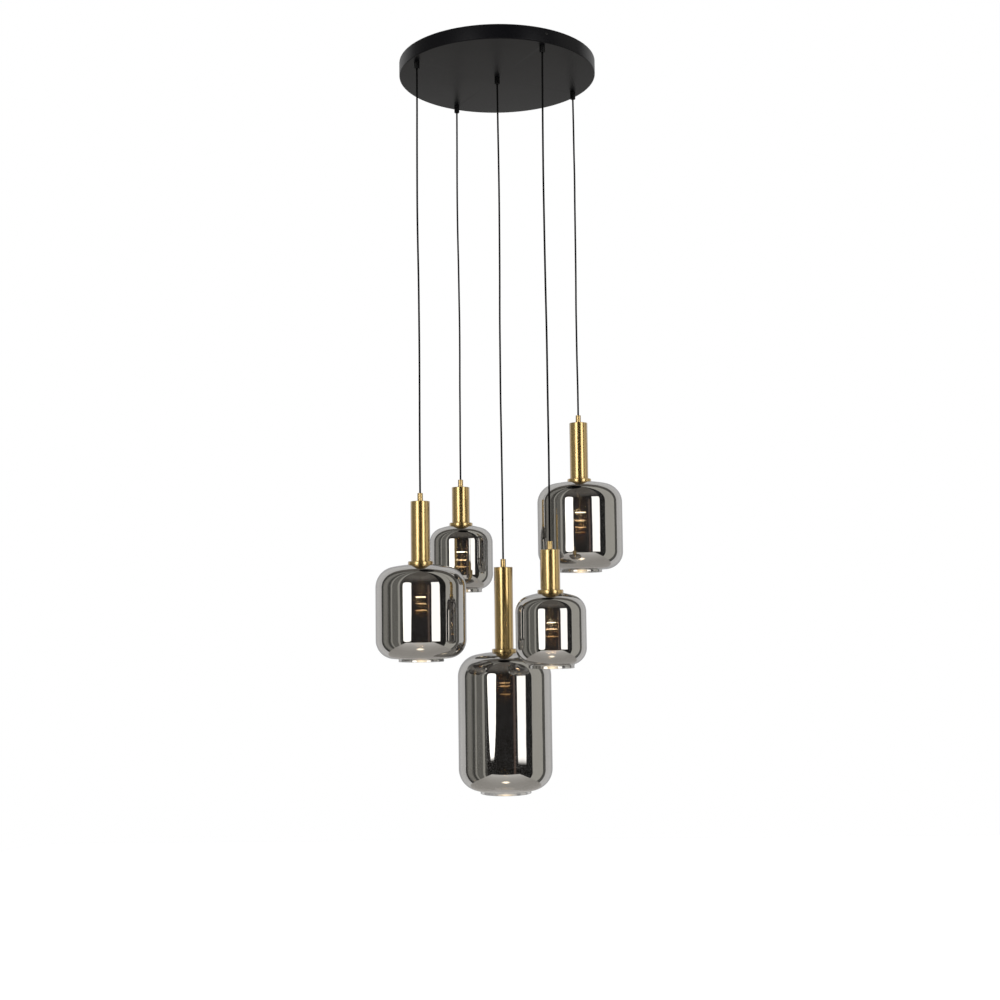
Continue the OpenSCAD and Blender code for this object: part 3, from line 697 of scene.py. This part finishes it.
def shade_face(style, inset):
    """Points of the outside (inset 0) or inside face, from the neck to the foot's rim."""
    outer = style["width"] / 2
    shoulder_x = outer - style["shoulder"]
    dome_z = -math.sqrt(style["dome"] ** 2 - seat ** 2)
    shoulder_z = dome_z + math.sqrt((style["dome"] - style["shoulder"]) ** 2 - shoulder_x ** 2)
    rim = -style["height"]
    bowl = rim + foot_height
    corner_x, corner_z = outer - style["corner"], bowl + style["corner"]
    foot_x = style["foot"] / 2 - inset
    dome_r = style["dome"] - inset
    meet = math.degrees(math.asin(shoulder_x / (style["dome"] - style["shoulder"])))
    first = math.degrees(math.acos((-inset - dome_z) / dome_r))
    low_r = style["corner"] - inset
    last = 180 - math.degrees(math.asin(max(0, (foot_x - corner_x) / low_r)))
    face = [(neck / 2, -inset, 0.5)]
    face += arc((0, dome_z), dome_r, first, meet, 12)[:-1]
    face += arc((shoulder_x, shoulder_z), style["shoulder"] - inset, meet, 90, 26)
    face += arc((corner_x, corner_z), low_r, 90, last, 26)
    arc_end = face.pop()
    face.append((foot_x, arc_end[1] if last < 180 else bowl + inset, 3.0 if inset == 0 else 4.5))
    face += [(foot_x, rim + 3.4), (foot_x, rim + 1.3), (foot_x, rim, 1.0)]
    return face


def shade_outline(style):
    """The outline of the glass wall, down the outside and up the inside."""
    inside = shade_face(style, wall)
    return rounded(shade_face(style, 0) + inside[::-1], steps=6)


print(len(shade_outline(STYLES["large"])), "points in a large shade's outline")

# %% [markdown]
# Each shade is one closed shell with two finishes, the metal film outside and plain glass inside.
# Two shells would be simpler to paint, but they would leave the rim open. A face belongs to the
# inside when it looks towards the shade's middle. The attribute "film" is 0 at the foot's rim
# and rises to 1 above it.

# %% Blow the shades
for name in PENDANTS:
    style, middle = style_of(name), place_of(name)
    outline = shade_outline(style)
    shade = turned(f"glass_shade_{name}", outline, smoked, middle, steps=180, sharp=50)
    shade.data.materials.append(inner)
    rim = middle.z - style["height"] * mm
    film = shade.data.attributes.new("film", "FLOAT", "POINT")
    film.data.foreach_set("value", [
        min(1.0, max(0.0, (v.co.z - rim) / (film_rise * mm) - film_start))
        for v in shade.data.vertices])
    for face in shade.data.polygons:
        away = face.center - middle
        inwards = Vector((away.x, away.y, away.z + style["height"] / 2 * mm))
        face.material_index = int(face.normal.dot(inwards) < 0)
    dress(shade, f"pendant_{name}", "smoked_glass", f"shade_{name}")

# %% [markdown]
# ## The brass head
# Three turned parts stand on the glass: a flat collar with a rounded upper edge, the long sleeve
# over the lampholder, and the small grip that clamps the cord. A fine groove near the sleeve's
# foot and another under the grip's cap catch a line of light, as turned work does. Nothing on
# them leaves the round, so one outline on the lathe makes each.

# %% Collar, sleeve and cord grip
collar_radius = 30.5
sleeve_radius = 23.25
collar = rounded([(20.2, 0, .3), (collar_radius, 0, .5), (collar_radius, collar_top, 2.5),
                  (21.75, collar_top), (21.75, 11, .5), (20.2, 11, .3)])
for name in PENDANTS:
    middle, body = place_of(name), f"pendant_{name}"
    top = collar_top + style_of(name)["sleeve"]
    dress(turned(f"brass_collar_{name}", collar, brass, middle), body, "brass", f"collar_{name}")
    sleeve = rounded([(21.85, collar_top, .2), (sleeve_radius, collar_top, .3),
                      (sleeve_radius, 10.2, .1), (22.9, 10.4), (22.9, 11.0),
                      (sleeve_radius, 11.2, .1), (sleeve_radius, top, 1.3), (5.1, top, .2),
                      (5.1, top - 2), (21.85, top - 2, .5)])
    dress(turned(f"brass_sleeve_{name}", sleeve, brass, middle), body, "brass", f"sleeve_{name}")
    end = top + grip_height
    grip = rounded([(5.05, top, .2), (6.75, top, .3), (6.75, end - 3.4, .1), (6.4, end - 3.2),
                    (6.4, end - 2.8), (6.75, end - 2.6, .1), (6.75, end, .9),
                    *mouth(end, -1)[::-1], (cord_bore, top + 9.5), (5.05, top + 9.5)])
    dress(turned(f"brass_grip_{name}", grip, brass, middle, steps=64), body, "brass",
          f"cord_grip_{name}")

# %% [markdown]
# ## Inside the shade
# Two things repeat here: the ribs of a ring nut, which give the fingers a hold, and the turns of
# a glowing coil. A loop could place them one by one, but a tree with named inputs keeps their
# number and size easy to change.

# %% Repeated pieces
repeat, given = tree_with_inputs("Repeat round a circle", {
    "Geometry": "Geometry", "Count": "Int", "Radius": "Float", "Place": "Vector",
    "Finish": "Material"})
circle = put(repeat, "GeometryNodeMeshCircle", {"Vertices": given["Count"],
                                                "Radius": given["Radius"]})
ring_index = put(repeat, "GeometryNodeInputIndex").outputs[0]
ring_angle = maths(repeat, "MULTIPLY", maths(repeat, "DIVIDE", ring_index, given["Count"]),
                   2 * math.pi)
copies = put(repeat, "GeometryNodeInstanceOnPoints",
             {"Points": circle.outputs[0], "Instance": given["Geometry"],
              "Rotation": put(repeat, "ShaderNodeCombineXYZ", {2: ring_angle}).outputs[0]})
shifted = put(repeat, "GeometryNodeSetPosition",
              {"Geometry": put(repeat, "GeometryNodeRealizeInstances",
                               {0: copies.outputs[0]}).outputs[0], "Offset": given["Place"]})
end_tree(repeat, shifted.outputs[0], given["Finish"])

coil, given = tree_with_inputs("Flat coil", {
    "Geometry": "Geometry", "Turns": "Float", "Inner": "Float", "Outer": "Float",
    "Wire": "Float", "Rise": "Float", "Place": "Vector", "Finish": "Material"})
spiral = put(coil, "GeometryNodeCurveSpiral",
             {"Resolution": 28, "Rotations": given["Turns"], "Start Radius": given["Inner"],
              "End Radius": given["Outer"], "Height": given["Rise"]})
wire = put(coil, "GeometryNodeCurvePrimitiveCircle", {"Resolution": 8, "Radius": given["Wire"]})
wound = put(coil, "GeometryNodeCurveToMesh", {0: spiral.outputs[0], 1: wire.outputs[0],
                                              "Fill Caps": True})
set_down = put(coil, "GeometryNodeSetPosition", {"Geometry": wound.outputs[0],
                                                 "Offset": given["Place"]})
end_tree(coil, set_down.outputs[0], given["Finish"])
print(len(repeat.nodes), "nodes repeat a rib and", len(coil.nodes), "wind a coil")


def join(name, parts):
    """One object from several, with their materials kept."""
    with bpy.context.temp_override(active_object=parts[0], selected_editable_objects=parts,
                                   selected_objects=parts):
        bpy.ops.object.join()
    parts[0].name = parts[0].data.name = name
    return parts[0]


def rib(name, radius, z0, z1):
    """A small upright rod with softened ends, from z0 to z1 in millimetres."""
    outline = rounded([(0, z0), (radius, z0, radius * .4), (radius, z1, radius * .4), (0, z1)],
                      closed=False, steps=2)
    return turned(name, outline, holder_plastic, steps=10)


# %% [markdown]
# The holder's skirt comes down through the hole in the glass, and the ring nut on its thread
# clamps the shade up against the collar. Such a shallow thread is drawn as plain ridges, because
# a true helix would cost many faces and look the same.

# %% Lampholder and ring nut
skirt_radius = 19.9
ring_radius = 24
ring_ribs = 24
holder = rounded([(13.6, -27, .4), (19.5, -27, .4), *ridges(skirt_radius, -26, .9, 15),
                  (skirt_radius, -11.5), (skirt_radius, 11), (21.45, 11, .4), (21.45, 15, .6),
                  (12, 40, .6), (8, 40, .5), (8, 48, .6), (5.05, 48, .2), (5.05, 41), (2, 41),
                  (2, 9.5), (2, 8), (13.6, 8)])
ring = rounded([(20, -2.6, .2), (29.5, -2.6, .4), (29.5, -5, .4), (ring_radius, -5, .3),
                (ring_radius, -11.5, .8), (20, -11.5, .4)])
for name in PENDANTS:
    middle, body = place_of(name), f"pendant_{name}"
    dress(turned(f"lampholder_skirt_{name}", holder, holder_plastic, middle), body,
          "holder_black", f"lampholder_{name}")
    nut = turned(f"ring_nut_{name}", ring, holder_plastic, middle)
    ribs = rib(f"ring_ribs_{name}", 1.1, -11, -5.2)
    with_nodes(ribs, repeat, {"Count": ring_ribs, "Radius": ring_radius * mm, "Place": middle,
                              "Finish": holder_plastic})
    dress(join(f"ring_nut_{name}", [nut, tidy_mesh(ribs)]), body, "holder_black",
          f"shade_ring_{name}")

# %% [markdown]
# The lamp is a clear tube with a rounded end, on a rod of glass with flat coils at three heights.
# The coils sit at slightly different heights in each lamp, as the photograph shows them through
# the glass. The topmost burns white, the others amber, and the tall shade's lamp is the dimmest.

# %% Lamps
# How deep each coil sits below the glass top, in millimetres, and how hot it burns, from 0 to 1
COILS = {"left": (78, 94, 110), "back": (69, 90, 108), "centre": (76, 84, 104),
         "front": (69, 84, 101), "right": (79, 100, 117)}
HEAT = {"left": (1.0, 0.3, 0.15), "back": (1.0, 0.4, 0.15), "centre": (0.12, 0.1, 0.0),
        "front": (1.0, 0.5, 0.05), "right": (1.0, 0.4, 0.2)}
lamp_radius = 20
lamp_bore = 19.1
lamp_bend = -108
cap_radius = 13.2
cap_thread = .55
steps_per_turn = 6
tube_out = rounded([(0, -18), (12.2, -18, 1), (12.2, -26, 3), (lamp_radius, -48, 8),
                    (lamp_radius, lamp_bend),
                    *arc((0, lamp_bend), lamp_radius, 90, 180, 14)[1:]], closed=False)
tube_in = rounded([(0, -18.9), (11.3, -18.9, 1), (11.3, -26.3, 3), (lamp_bore, -48.2, 8),
                   (lamp_bore, lamp_bend),
                   *arc((0, lamp_bend), lamp_bore, 90, 180, 14)[1:]], closed=False)
wave = [(cap_radius - cap_thread * (1 - math.cos(2 * math.pi * k / steps_per_turn)) / 2,
         -19.5 + k * .58) for k in range(5 * steps_per_turn + 1)]
cap = rounded([(0, -14.1), (12.5, -14.1), (12.5, -22, .2), (cap_radius, -22, .3), *wave,
               (12.6, 2, .6), (5, 6, .3), (4.5, 6), (4.5, 8, .8), (0, 8)], closed=False)
rod = rounded([(0, -116), (2.2, -116, 1.2), (2.2, -19, .5), (5, -14.2), (0, -14.2)],
              closed=False)
for name in PENDANTS:
    middle, body = place_of(name), f"pendant_{name}"
    skins = [turned(f"lamp_tube_{name}", outline, lamp_glass, middle)
             for outline in (tube_out, tube_in)]
    skins[1].data.flip_normals()
    dress(join(f"lamp_tube_{name}", skins), body, "lamp_glass", f"lamp_{name}")
    base = join(f"lamp_cap_piece_{name}", [turned(f"cap_{name}", cap, nickel, middle),
                                           turned(f"rod_{name}", rod, mount_glass, middle,
                                                  steps=24)])
    dress(base, body, "cap_nickel", f"lamp_cap_{name}")
    coils = []
    for depth, heat in zip(COILS[name], HEAT[name]):
        for rise in (1.1, -1.1):
            turns = new_object(f"coil_{name}_{depth}_{rise}", [(0, 0, 0)])
            with_nodes(turns, coil, {"Turns": 3.0, "Inner": 14 * mm, "Outer": 3 * mm,
                                     "Wire": .55 * mm, "Rise": rise * mm,
                                     "Place": middle - Vector((0, 0, depth * mm)),
                                     "Finish": filament})
            spots = turns.data.attributes.new("glow", "FLOAT", "POINT")
            spots.data.foreach_set("value", [heat] * len(turns.data.vertices))
            coils.append(turns)
    dress(tidy_mesh(join(f"filament_{name}", coils), 80), body, "filament")

# %% [markdown]
# ## The canopy
# The pan is spun from sheet, with a small radius at its edge, and drilled for five cord grips and
# two rim screws. The lathe tree makes the pan, and a boolean drills it, because the holes are off
# its axis.

# %% Canopy pan
pan_radius = 250
pan_depth = 35.5
pan_sheet = 1.5
grip_hole = 5.1
rim_hole = 2.1
rim_hole_z = -12.5
drill_low = -40
drill_high = -30
drill_half = 6
pan = turned("canopy_shell", rounded([
    (0, -pan_depth), (pan_radius, -pan_depth, 3), (pan_radius, 0, .3),
    (pan_radius - pan_sheet, 0, .3), (pan_radius - pan_sheet, pan_sheet - pan_depth, 1.6),
    (0, pan_sheet - pan_depth)], closed=False, steps=8), powder, steps=240)
drills = []
for x, y in plan:
    drills.append(turned("drill", [(0, drill_low), (grip_hole, drill_low),
                                   (grip_hole, drill_high), (0, drill_high)],
                         powder, Vector((x, y, 0)) * mm, steps=32))
for side in (-1, 1):
    drill = turned("drill", [(0, -drill_half), (rim_hole, -drill_half), (rim_hole, drill_half),
                             (0, drill_half)], powder, steps=24)
    drill.data.transform(Matrix.Translation((0, side * pan_radius * mm, rim_hole_z * mm))
                         @ Matrix.Rotation(math.pi / 2, 4, "X"))
    drills.append(drill)
drill = join("drill", drills)
cut = pan.modifiers.new("Drill", "BOOLEAN")
cut.object = drill
cut.solver = "EXACT"
pan.data = bpy.data.meshes.new_from_object(
    pan.evaluated_get(bpy.context.evaluated_depsgraph_get()))
pan.modifiers.clear()
bpy.data.objects.remove(drill)
pan.data.shade_smooth()
pan.data.set_sharp_from_angle(angle=math.radians(30))
dress(pan, "canopy", "canopy_powder_coat", "canopy_pan")

# %% [markdown]
# Each moulded cord grip hangs under the pan and screws into a nut above it. The mouth flares, so
# that a swinging cord bends gently and doesn't chafe. The five grips are one node of the model,
# and so are their nuts, so one of each is turned and copied to the five places.

# %% Ceiling grips and nuts


def at_places(name, part):
    """One object with a copy of the part at each place of the plan."""
    parts = []
    for x, y in plan:
        copy = bpy.data.objects.new(name, part.data.copy())
        bpy.context.scene.collection.objects.link(copy)
        copy.data.transform(Matrix.Translation((x * mm, y * mm, 0)))
        parts.append(copy)
    bpy.data.objects.remove(part)
    return join(name, parts)


grip_rim = -52
grip_top = -29.1
flange_top = -pan_depth - .1
grip = turned("moulded_grips", rounded(
    [(cord_bore, grip_top), *mouth(grip_rim, 1), (6.75, grip_rim, 1.2), (6.75, -37.2, .2),
     (7.1, -36.8, .2), (7.1, flange_top, .2), (5, flange_top),
     *ridges(5, -33.8, .48, 10), (4.6, grip_top, .2)]), grip_plastic, steps=64)
dress(at_places("moulded_grips", grip), "canopy", "grip_black", "ceiling_grips")
nut = turned("hex_nuts", rounded([(5.05, -33.9, .3), (7.3, -33.9), (8.1, -33.5), (8.1, -31.4),
                                  (7.3, -31), (5.05, -31, .3)]), zinc, steps=96, flats=14)
dress(at_places("hex_nuts", nut), "canopy", "zinc_steel", "grip_nuts")

# %% [markdown]
# Above the pan, each cord bends out of its grip and runs level to the junction box. They are
# clamped at both ends, so they are fixed tubes on the same kind of path.

# %% Cord tails
tail_start = -27
tail_bend = 17.2
tail_inside = 3
box_middle = (30, 55)
box_radius = 28
box_wall = 1.8
tails = []
for x, y in plan:
    away = Vector((box_middle[0] - x, box_middle[1] - y, 0))
    reach = away.length - box_radius + box_wall + tail_inside
    away.normalize()
    side_on = [(0, cord_pivot)] + [
        (tail_bend * (1 - math.cos(a)), tail_start + tail_bend * math.sin(a))
        for a in (math.radians(d) for d in range(0, 91, 10))] + [(reach, tail_start + tail_bend)]
    path = [(Vector((x, y, z)) + away * s) * mm for s, z in side_on]
    tails.append(tube("tail", path, cord_width / 2 * mm, cord_finish, sides=16))
dress(join("cord_tails_braided", tails), "canopy", "cord_black", "cord_tails")

# %% [markdown]
# ## The solids that stay
# The bracket, screws, box and threaded tubes already have their shape, so they only get their
# finish.

# %% Finishes for the kept solids
KEPT = {
    "ceiling_bracket": zinc, "rim_screws": dark_steel, "junction_box": box_plastic,
    "junction_lid": box_plastic, "junction_screws": zinc, "terminal_block": terminal_plastic,
}
KEPT.update({f"stem_{name}": zinc for name in PENDANTS})
for node, material in KEPT.items():
    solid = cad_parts[node]
    solid.data.materials.clear()
    solid.data.materials.append(material)
print(len(KEPT), "solids keep their shape")

# %% [markdown]
# ## Floor, studio and light
# The picture has a plain white ground. What the mirror glass shows is the studio round it: a
# white backdrop behind the object, two tall soft boxes left and right of the camera, a grey card
# at the side and a dark room elsewhere. One world makes all of it from the direction of the ray.
# Boxes of real geometry could stand there too, but they would have to be kept out of the picture,
# while a direction is the same for every pendant. The helpers below give a ray's degrees round and
# above, and masks in those degrees.

# %% Studio world
world = bpy.data.worlds.new("Studio")
bpy.context.scene.world = world
world.use_nodes = True
tree = world.node_tree
tree.nodes.clear()
ray = put(tree, "ShaderNodeTexCoord").outputs["Generated"]


def along(direction):
    """How far the ray goes in a direction, from -1 to 1."""
    node = put(tree, "ShaderNodeVectorMath", {0: ray, 1: direction}, operation="DOT_PRODUCT")
    return node.outputs["Value"]


def step_up(value, edge, soft):
    """0 below the edge and 1 above it."""
    return put(tree, "ShaderNodeMapRange", {0: value, 1: edge - soft, 2: edge + soft},
               interpolation_type="SMOOTHSTEP").outputs[0]


def stripe(value, low, high, soft):
    """1 between low and high, and 0 outside."""
    return maths(tree, "SUBTRACT", step_up(value, low, soft), step_up(value, high, soft))


def over(under, colour, amount):
    """Lays a colour over what is there."""
    node = put(tree, "ShaderNodeMix", {0: amount, 6: under, 7: (*colour, 1)}, data_type="RGBA")
    return node.outputs[2]


to_camera = (-math.sin(view_turn), -math.cos(view_turn), 0)
to_right = (math.cos(view_turn), -math.sin(view_turn), 0)
ahead, aside, height = along(to_camera), along(to_right), along((0, 0, 1))
round_about = maths(tree, "MULTIPLY", maths(tree, "ARCTAN2", aside, ahead), 180 / math.pi)
above = maths(tree, "MULTIPLY", maths(tree, "ARCSINE", height), 180 / math.pi)


def soft_box(left, right_side, low, top, corner, soft=0.25):
    """1 inside a box with rounded corners, in degrees round and above."""
    middle, half = (left + right_side) / 2, (right_side - left) / 2 - corner
    mid_height, half_height = (low + top) / 2, (top - low) / 2 - corner
    across = maths(tree, "MAXIMUM", maths(tree, "SUBTRACT", maths(
        tree, "ABSOLUTE", maths(tree, "SUBTRACT", round_about, middle)), half), 0.0)
    upwards = maths(tree, "MAXIMUM", maths(tree, "SUBTRACT", maths(
        tree, "ABSOLUTE", maths(tree, "SUBTRACT", above, mid_height)), half_height), 0.0)
    reach = maths(tree, "SQRT", maths(tree, "ADD", maths(tree, "MULTIPLY", across, across),
                                      maths(tree, "MULTIPLY", upwards, upwards)))
    return maths(tree, "SUBTRACT", 1.0, step_up(reach, corner, soft))


# %% [markdown]
# The room is painted in layers, from its dark walls to the backdrop, and each layer can be moved
# alone. The upright stripes stand for its cards, stands and dark gaps.

# %% Walls, soft boxes and backdrop
# Stripes of the room: first and last degree round, tone, and softness of the edges
STRIPES = ((-116, -52, 0.25, 2), (-104, -91, 0.38, 2), (-87, -80, 0.11, 1), (-78, -74, 0.56, 1),
           (-57, -51, 0.62, 1), (-50, -45, 0.12, 1), (-116, -108, 0.08, 1), (53, 68, 0.02, 1),
           (69, 104, 0.72, 1), (104, 116, 0.16, 1))
behind = maths(tree, "MULTIPLY", ahead, -1.0)
room = over((0.02, 0.018, 0.016, 1), (0.20, 0.185, 0.165), step_up(above, 34.0, 16.0))
for start, end, tone, soft in STRIPES:
    room = over(room, (tone, tone * 0.98, tone * 0.9), stripe(round_about, start, end, soft))
room = over(room, (0.16, 0.11, 0.09), soft_box(20, 25, -30, 8, 1))
room = over(room, (3.4, 3.35, 3.25), soft_box(-43, -21, -7.0, 22, 8))
room = over(room, (2.8, 2.76, 2.7), soft_box(30, 52, -7.1, 22, 1))
room = over(room, (0.94, 0.935, 0.93), step_up(behind, 0.42, 0.02))
room = over(room, (0.5, 0.5, 0.5), step_up(behind, 0.85, 0.15))
print(len(STRIPES), "stripes and two soft boxes")

# %% [markdown]
# Under the object lies a sheet of white paper that widens towards the camera and ends past it. It
# draws the pale arch low in each shade, and a small warm spot of light painted on it stands for
# the lamps' light there.
# Where a ray meets the paper depends on how far it goes forward and sideways for each step down,
# so two divisions turn its direction into a place on the sheet.

# %% Sheet of paper
paper_half_width = 1.3
paper_widening = 0.375
paper_end = 4.2
paper_dim = 0.2
paper_bright = 2.6
painted_pool_forward = 0.7
painted_pool_radius = 0.13
down = maths(tree, "MAXIMUM", maths(tree, "MULTIPLY", height, -1.0), 0.001)
forward = maths(tree, "DIVIDE", ahead, down)
sideways = maths(tree, "ABSOLUTE", maths(tree, "DIVIDE", aside, down))
half_width = maths(tree, "MULTIPLY_ADD", forward, paper_widening, paper_half_width)
edge = maths(tree, "SUBTRACT", half_width, sideways)
on_paper = maths(tree, "MULTIPLY", step_up(edge, 0.0, 0.04), maths(
    tree, "SUBTRACT", 1.0, step_up(forward, paper_end, 0.1)))
on_paper = maths(tree, "MULTIPLY", on_paper, maths(tree, "LESS_THAN", height, -0.05))
room = over(room, (0.60, 0.575, 0.54), on_paper)
brighter = put(tree, "ShaderNodeMapRange",
               {0: forward, 1: paper_dim, 2: paper_bright}).outputs[0]
room = over(room, (1.02, 1.0, 0.96), maths(tree, "MULTIPLY", on_paper, brighter))
# Painted light: a warm spot on the paper where the lamps' light would fall.
painted_pool = maths(tree, "SQRT", maths(tree, "ADD", maths(tree, "MULTIPLY", sideways, sideways), maths(
    tree, "POWER", maths(tree, "SUBTRACT", forward, painted_pool_forward), 2.0)))
room = over(room, (4.2, 3.7, 2.9), maths(tree, "MULTIPLY", on_paper, maths(
    tree, "SUBTRACT", 1.0, step_up(painted_pool, painted_pool_radius, 0.09))))

# %% [markdown]
# The camera has to see plain white, and so does glass that it looks through. The Light Path node
# tells such rays from those that come off a mirror.

# %% White for the camera
path = put(tree, "ShaderNodeLightPath").outputs
seen = maths(tree, "MAXIMUM", path["Is Camera Ray"], path["Is Transmission Ray"])
studio = put(tree, "ShaderNodeBackground", {"Color": room, "Strength": 1.0})
white = put(tree, "ShaderNodeBackground", {"Color": (1, 1, 1, 1), "Strength": 1.0})
mixed = put(tree, "ShaderNodeMixShader", {0: seen, 1: studio.outputs[0], 2: white.outputs[0]})
put(tree, "ShaderNodeOutputWorld", {0: mixed.outputs[0]})
print("the studio has", len(tree.nodes), "nodes")

# %% [markdown]
# The floor lies well below the lowest shade. It is a pale matt surface that also glows a little
# for the camera and through glass, so it meets the white ground without an edge and still keeps
# the object's soft shadow. In the mirrors the world's own sheet of paper takes its place, and the
# floor is clear from its underside, so a camera below it looks up at the shades.

# %% Floor
floor_z = -2750
floor_radius = 9000
floor = turned("floor", [(0, floor_z), (floor_radius, floor_z)], powder, steps=96)
ground, tree, shader = finish("pale_floor", Base_Color=(0.9, 0.9, 0.89, 1), Roughness=0.9)
path = put(tree, "ShaderNodeLightPath").outputs
watched = maths(tree, "MAXIMUM", path["Is Camera Ray"], path["Is Transmission Ray"])
glow = put(tree, "ShaderNodeEmission", {"Color": (1, 1, 1, 1),
                                        "Strength": maths(tree, "MULTIPLY", watched, 0.72)})
both = put(tree, "ShaderNodeAddShader", {0: shader.outputs[0], 1: glow.outputs[0]})
underside = put(tree, "ShaderNodeNewGeometry").outputs["Backfacing"]
one_sided = put(tree, "ShaderNodeMixShader", {0: underside, 1: both.outputs[0],
                                              2: put(tree, "ShaderNodeBsdfTransparent").outputs[0]})
tree.links.new(one_sided.outputs[0], tree.nodes["Material Output"].inputs[0])
if floor.data.polygons[0].normal.z < 0:
    floor.data.flip_normals()
floor.visible_glossy = False
floor.data.materials.clear()
floor.data.materials.append(ground)
print("the floor lies", -floor_z, "mm below the ceiling")

# %% [markdown]
# Two large soft lamps from above fill in what the world leaves dark, on the canopy and the floor.
# They stay out of the mirrors, where the world already shows the soft boxes.

# %% Lamps of the studio
LIGHTS = {"key": ((-2.6, -2.4, 1.4), 60), "fill": ((2.8, -1.2, 0.8), 30)}
light_size = 2.4
lit_point = Vector((0, 0, -1.2))
for label, (where, power) in LIGHTS.items():
    light = bpy.data.objects.new(label, bpy.data.lights.new(label, "AREA"))
    light.data.size = light_size
    light.data.energy = power
    light.location = where
    light.rotation_mode = "QUATERNION"
    light.rotation_quaternion = (lit_point - Vector(where)).to_track_quat("-Z", "Y")
    light.visible_glossy = False
    bpy.context.scene.collection.objects.link(light)
    print(label, "light:", power, "W")

bpy.context.scene.view_settings.view_transform = "Standard"
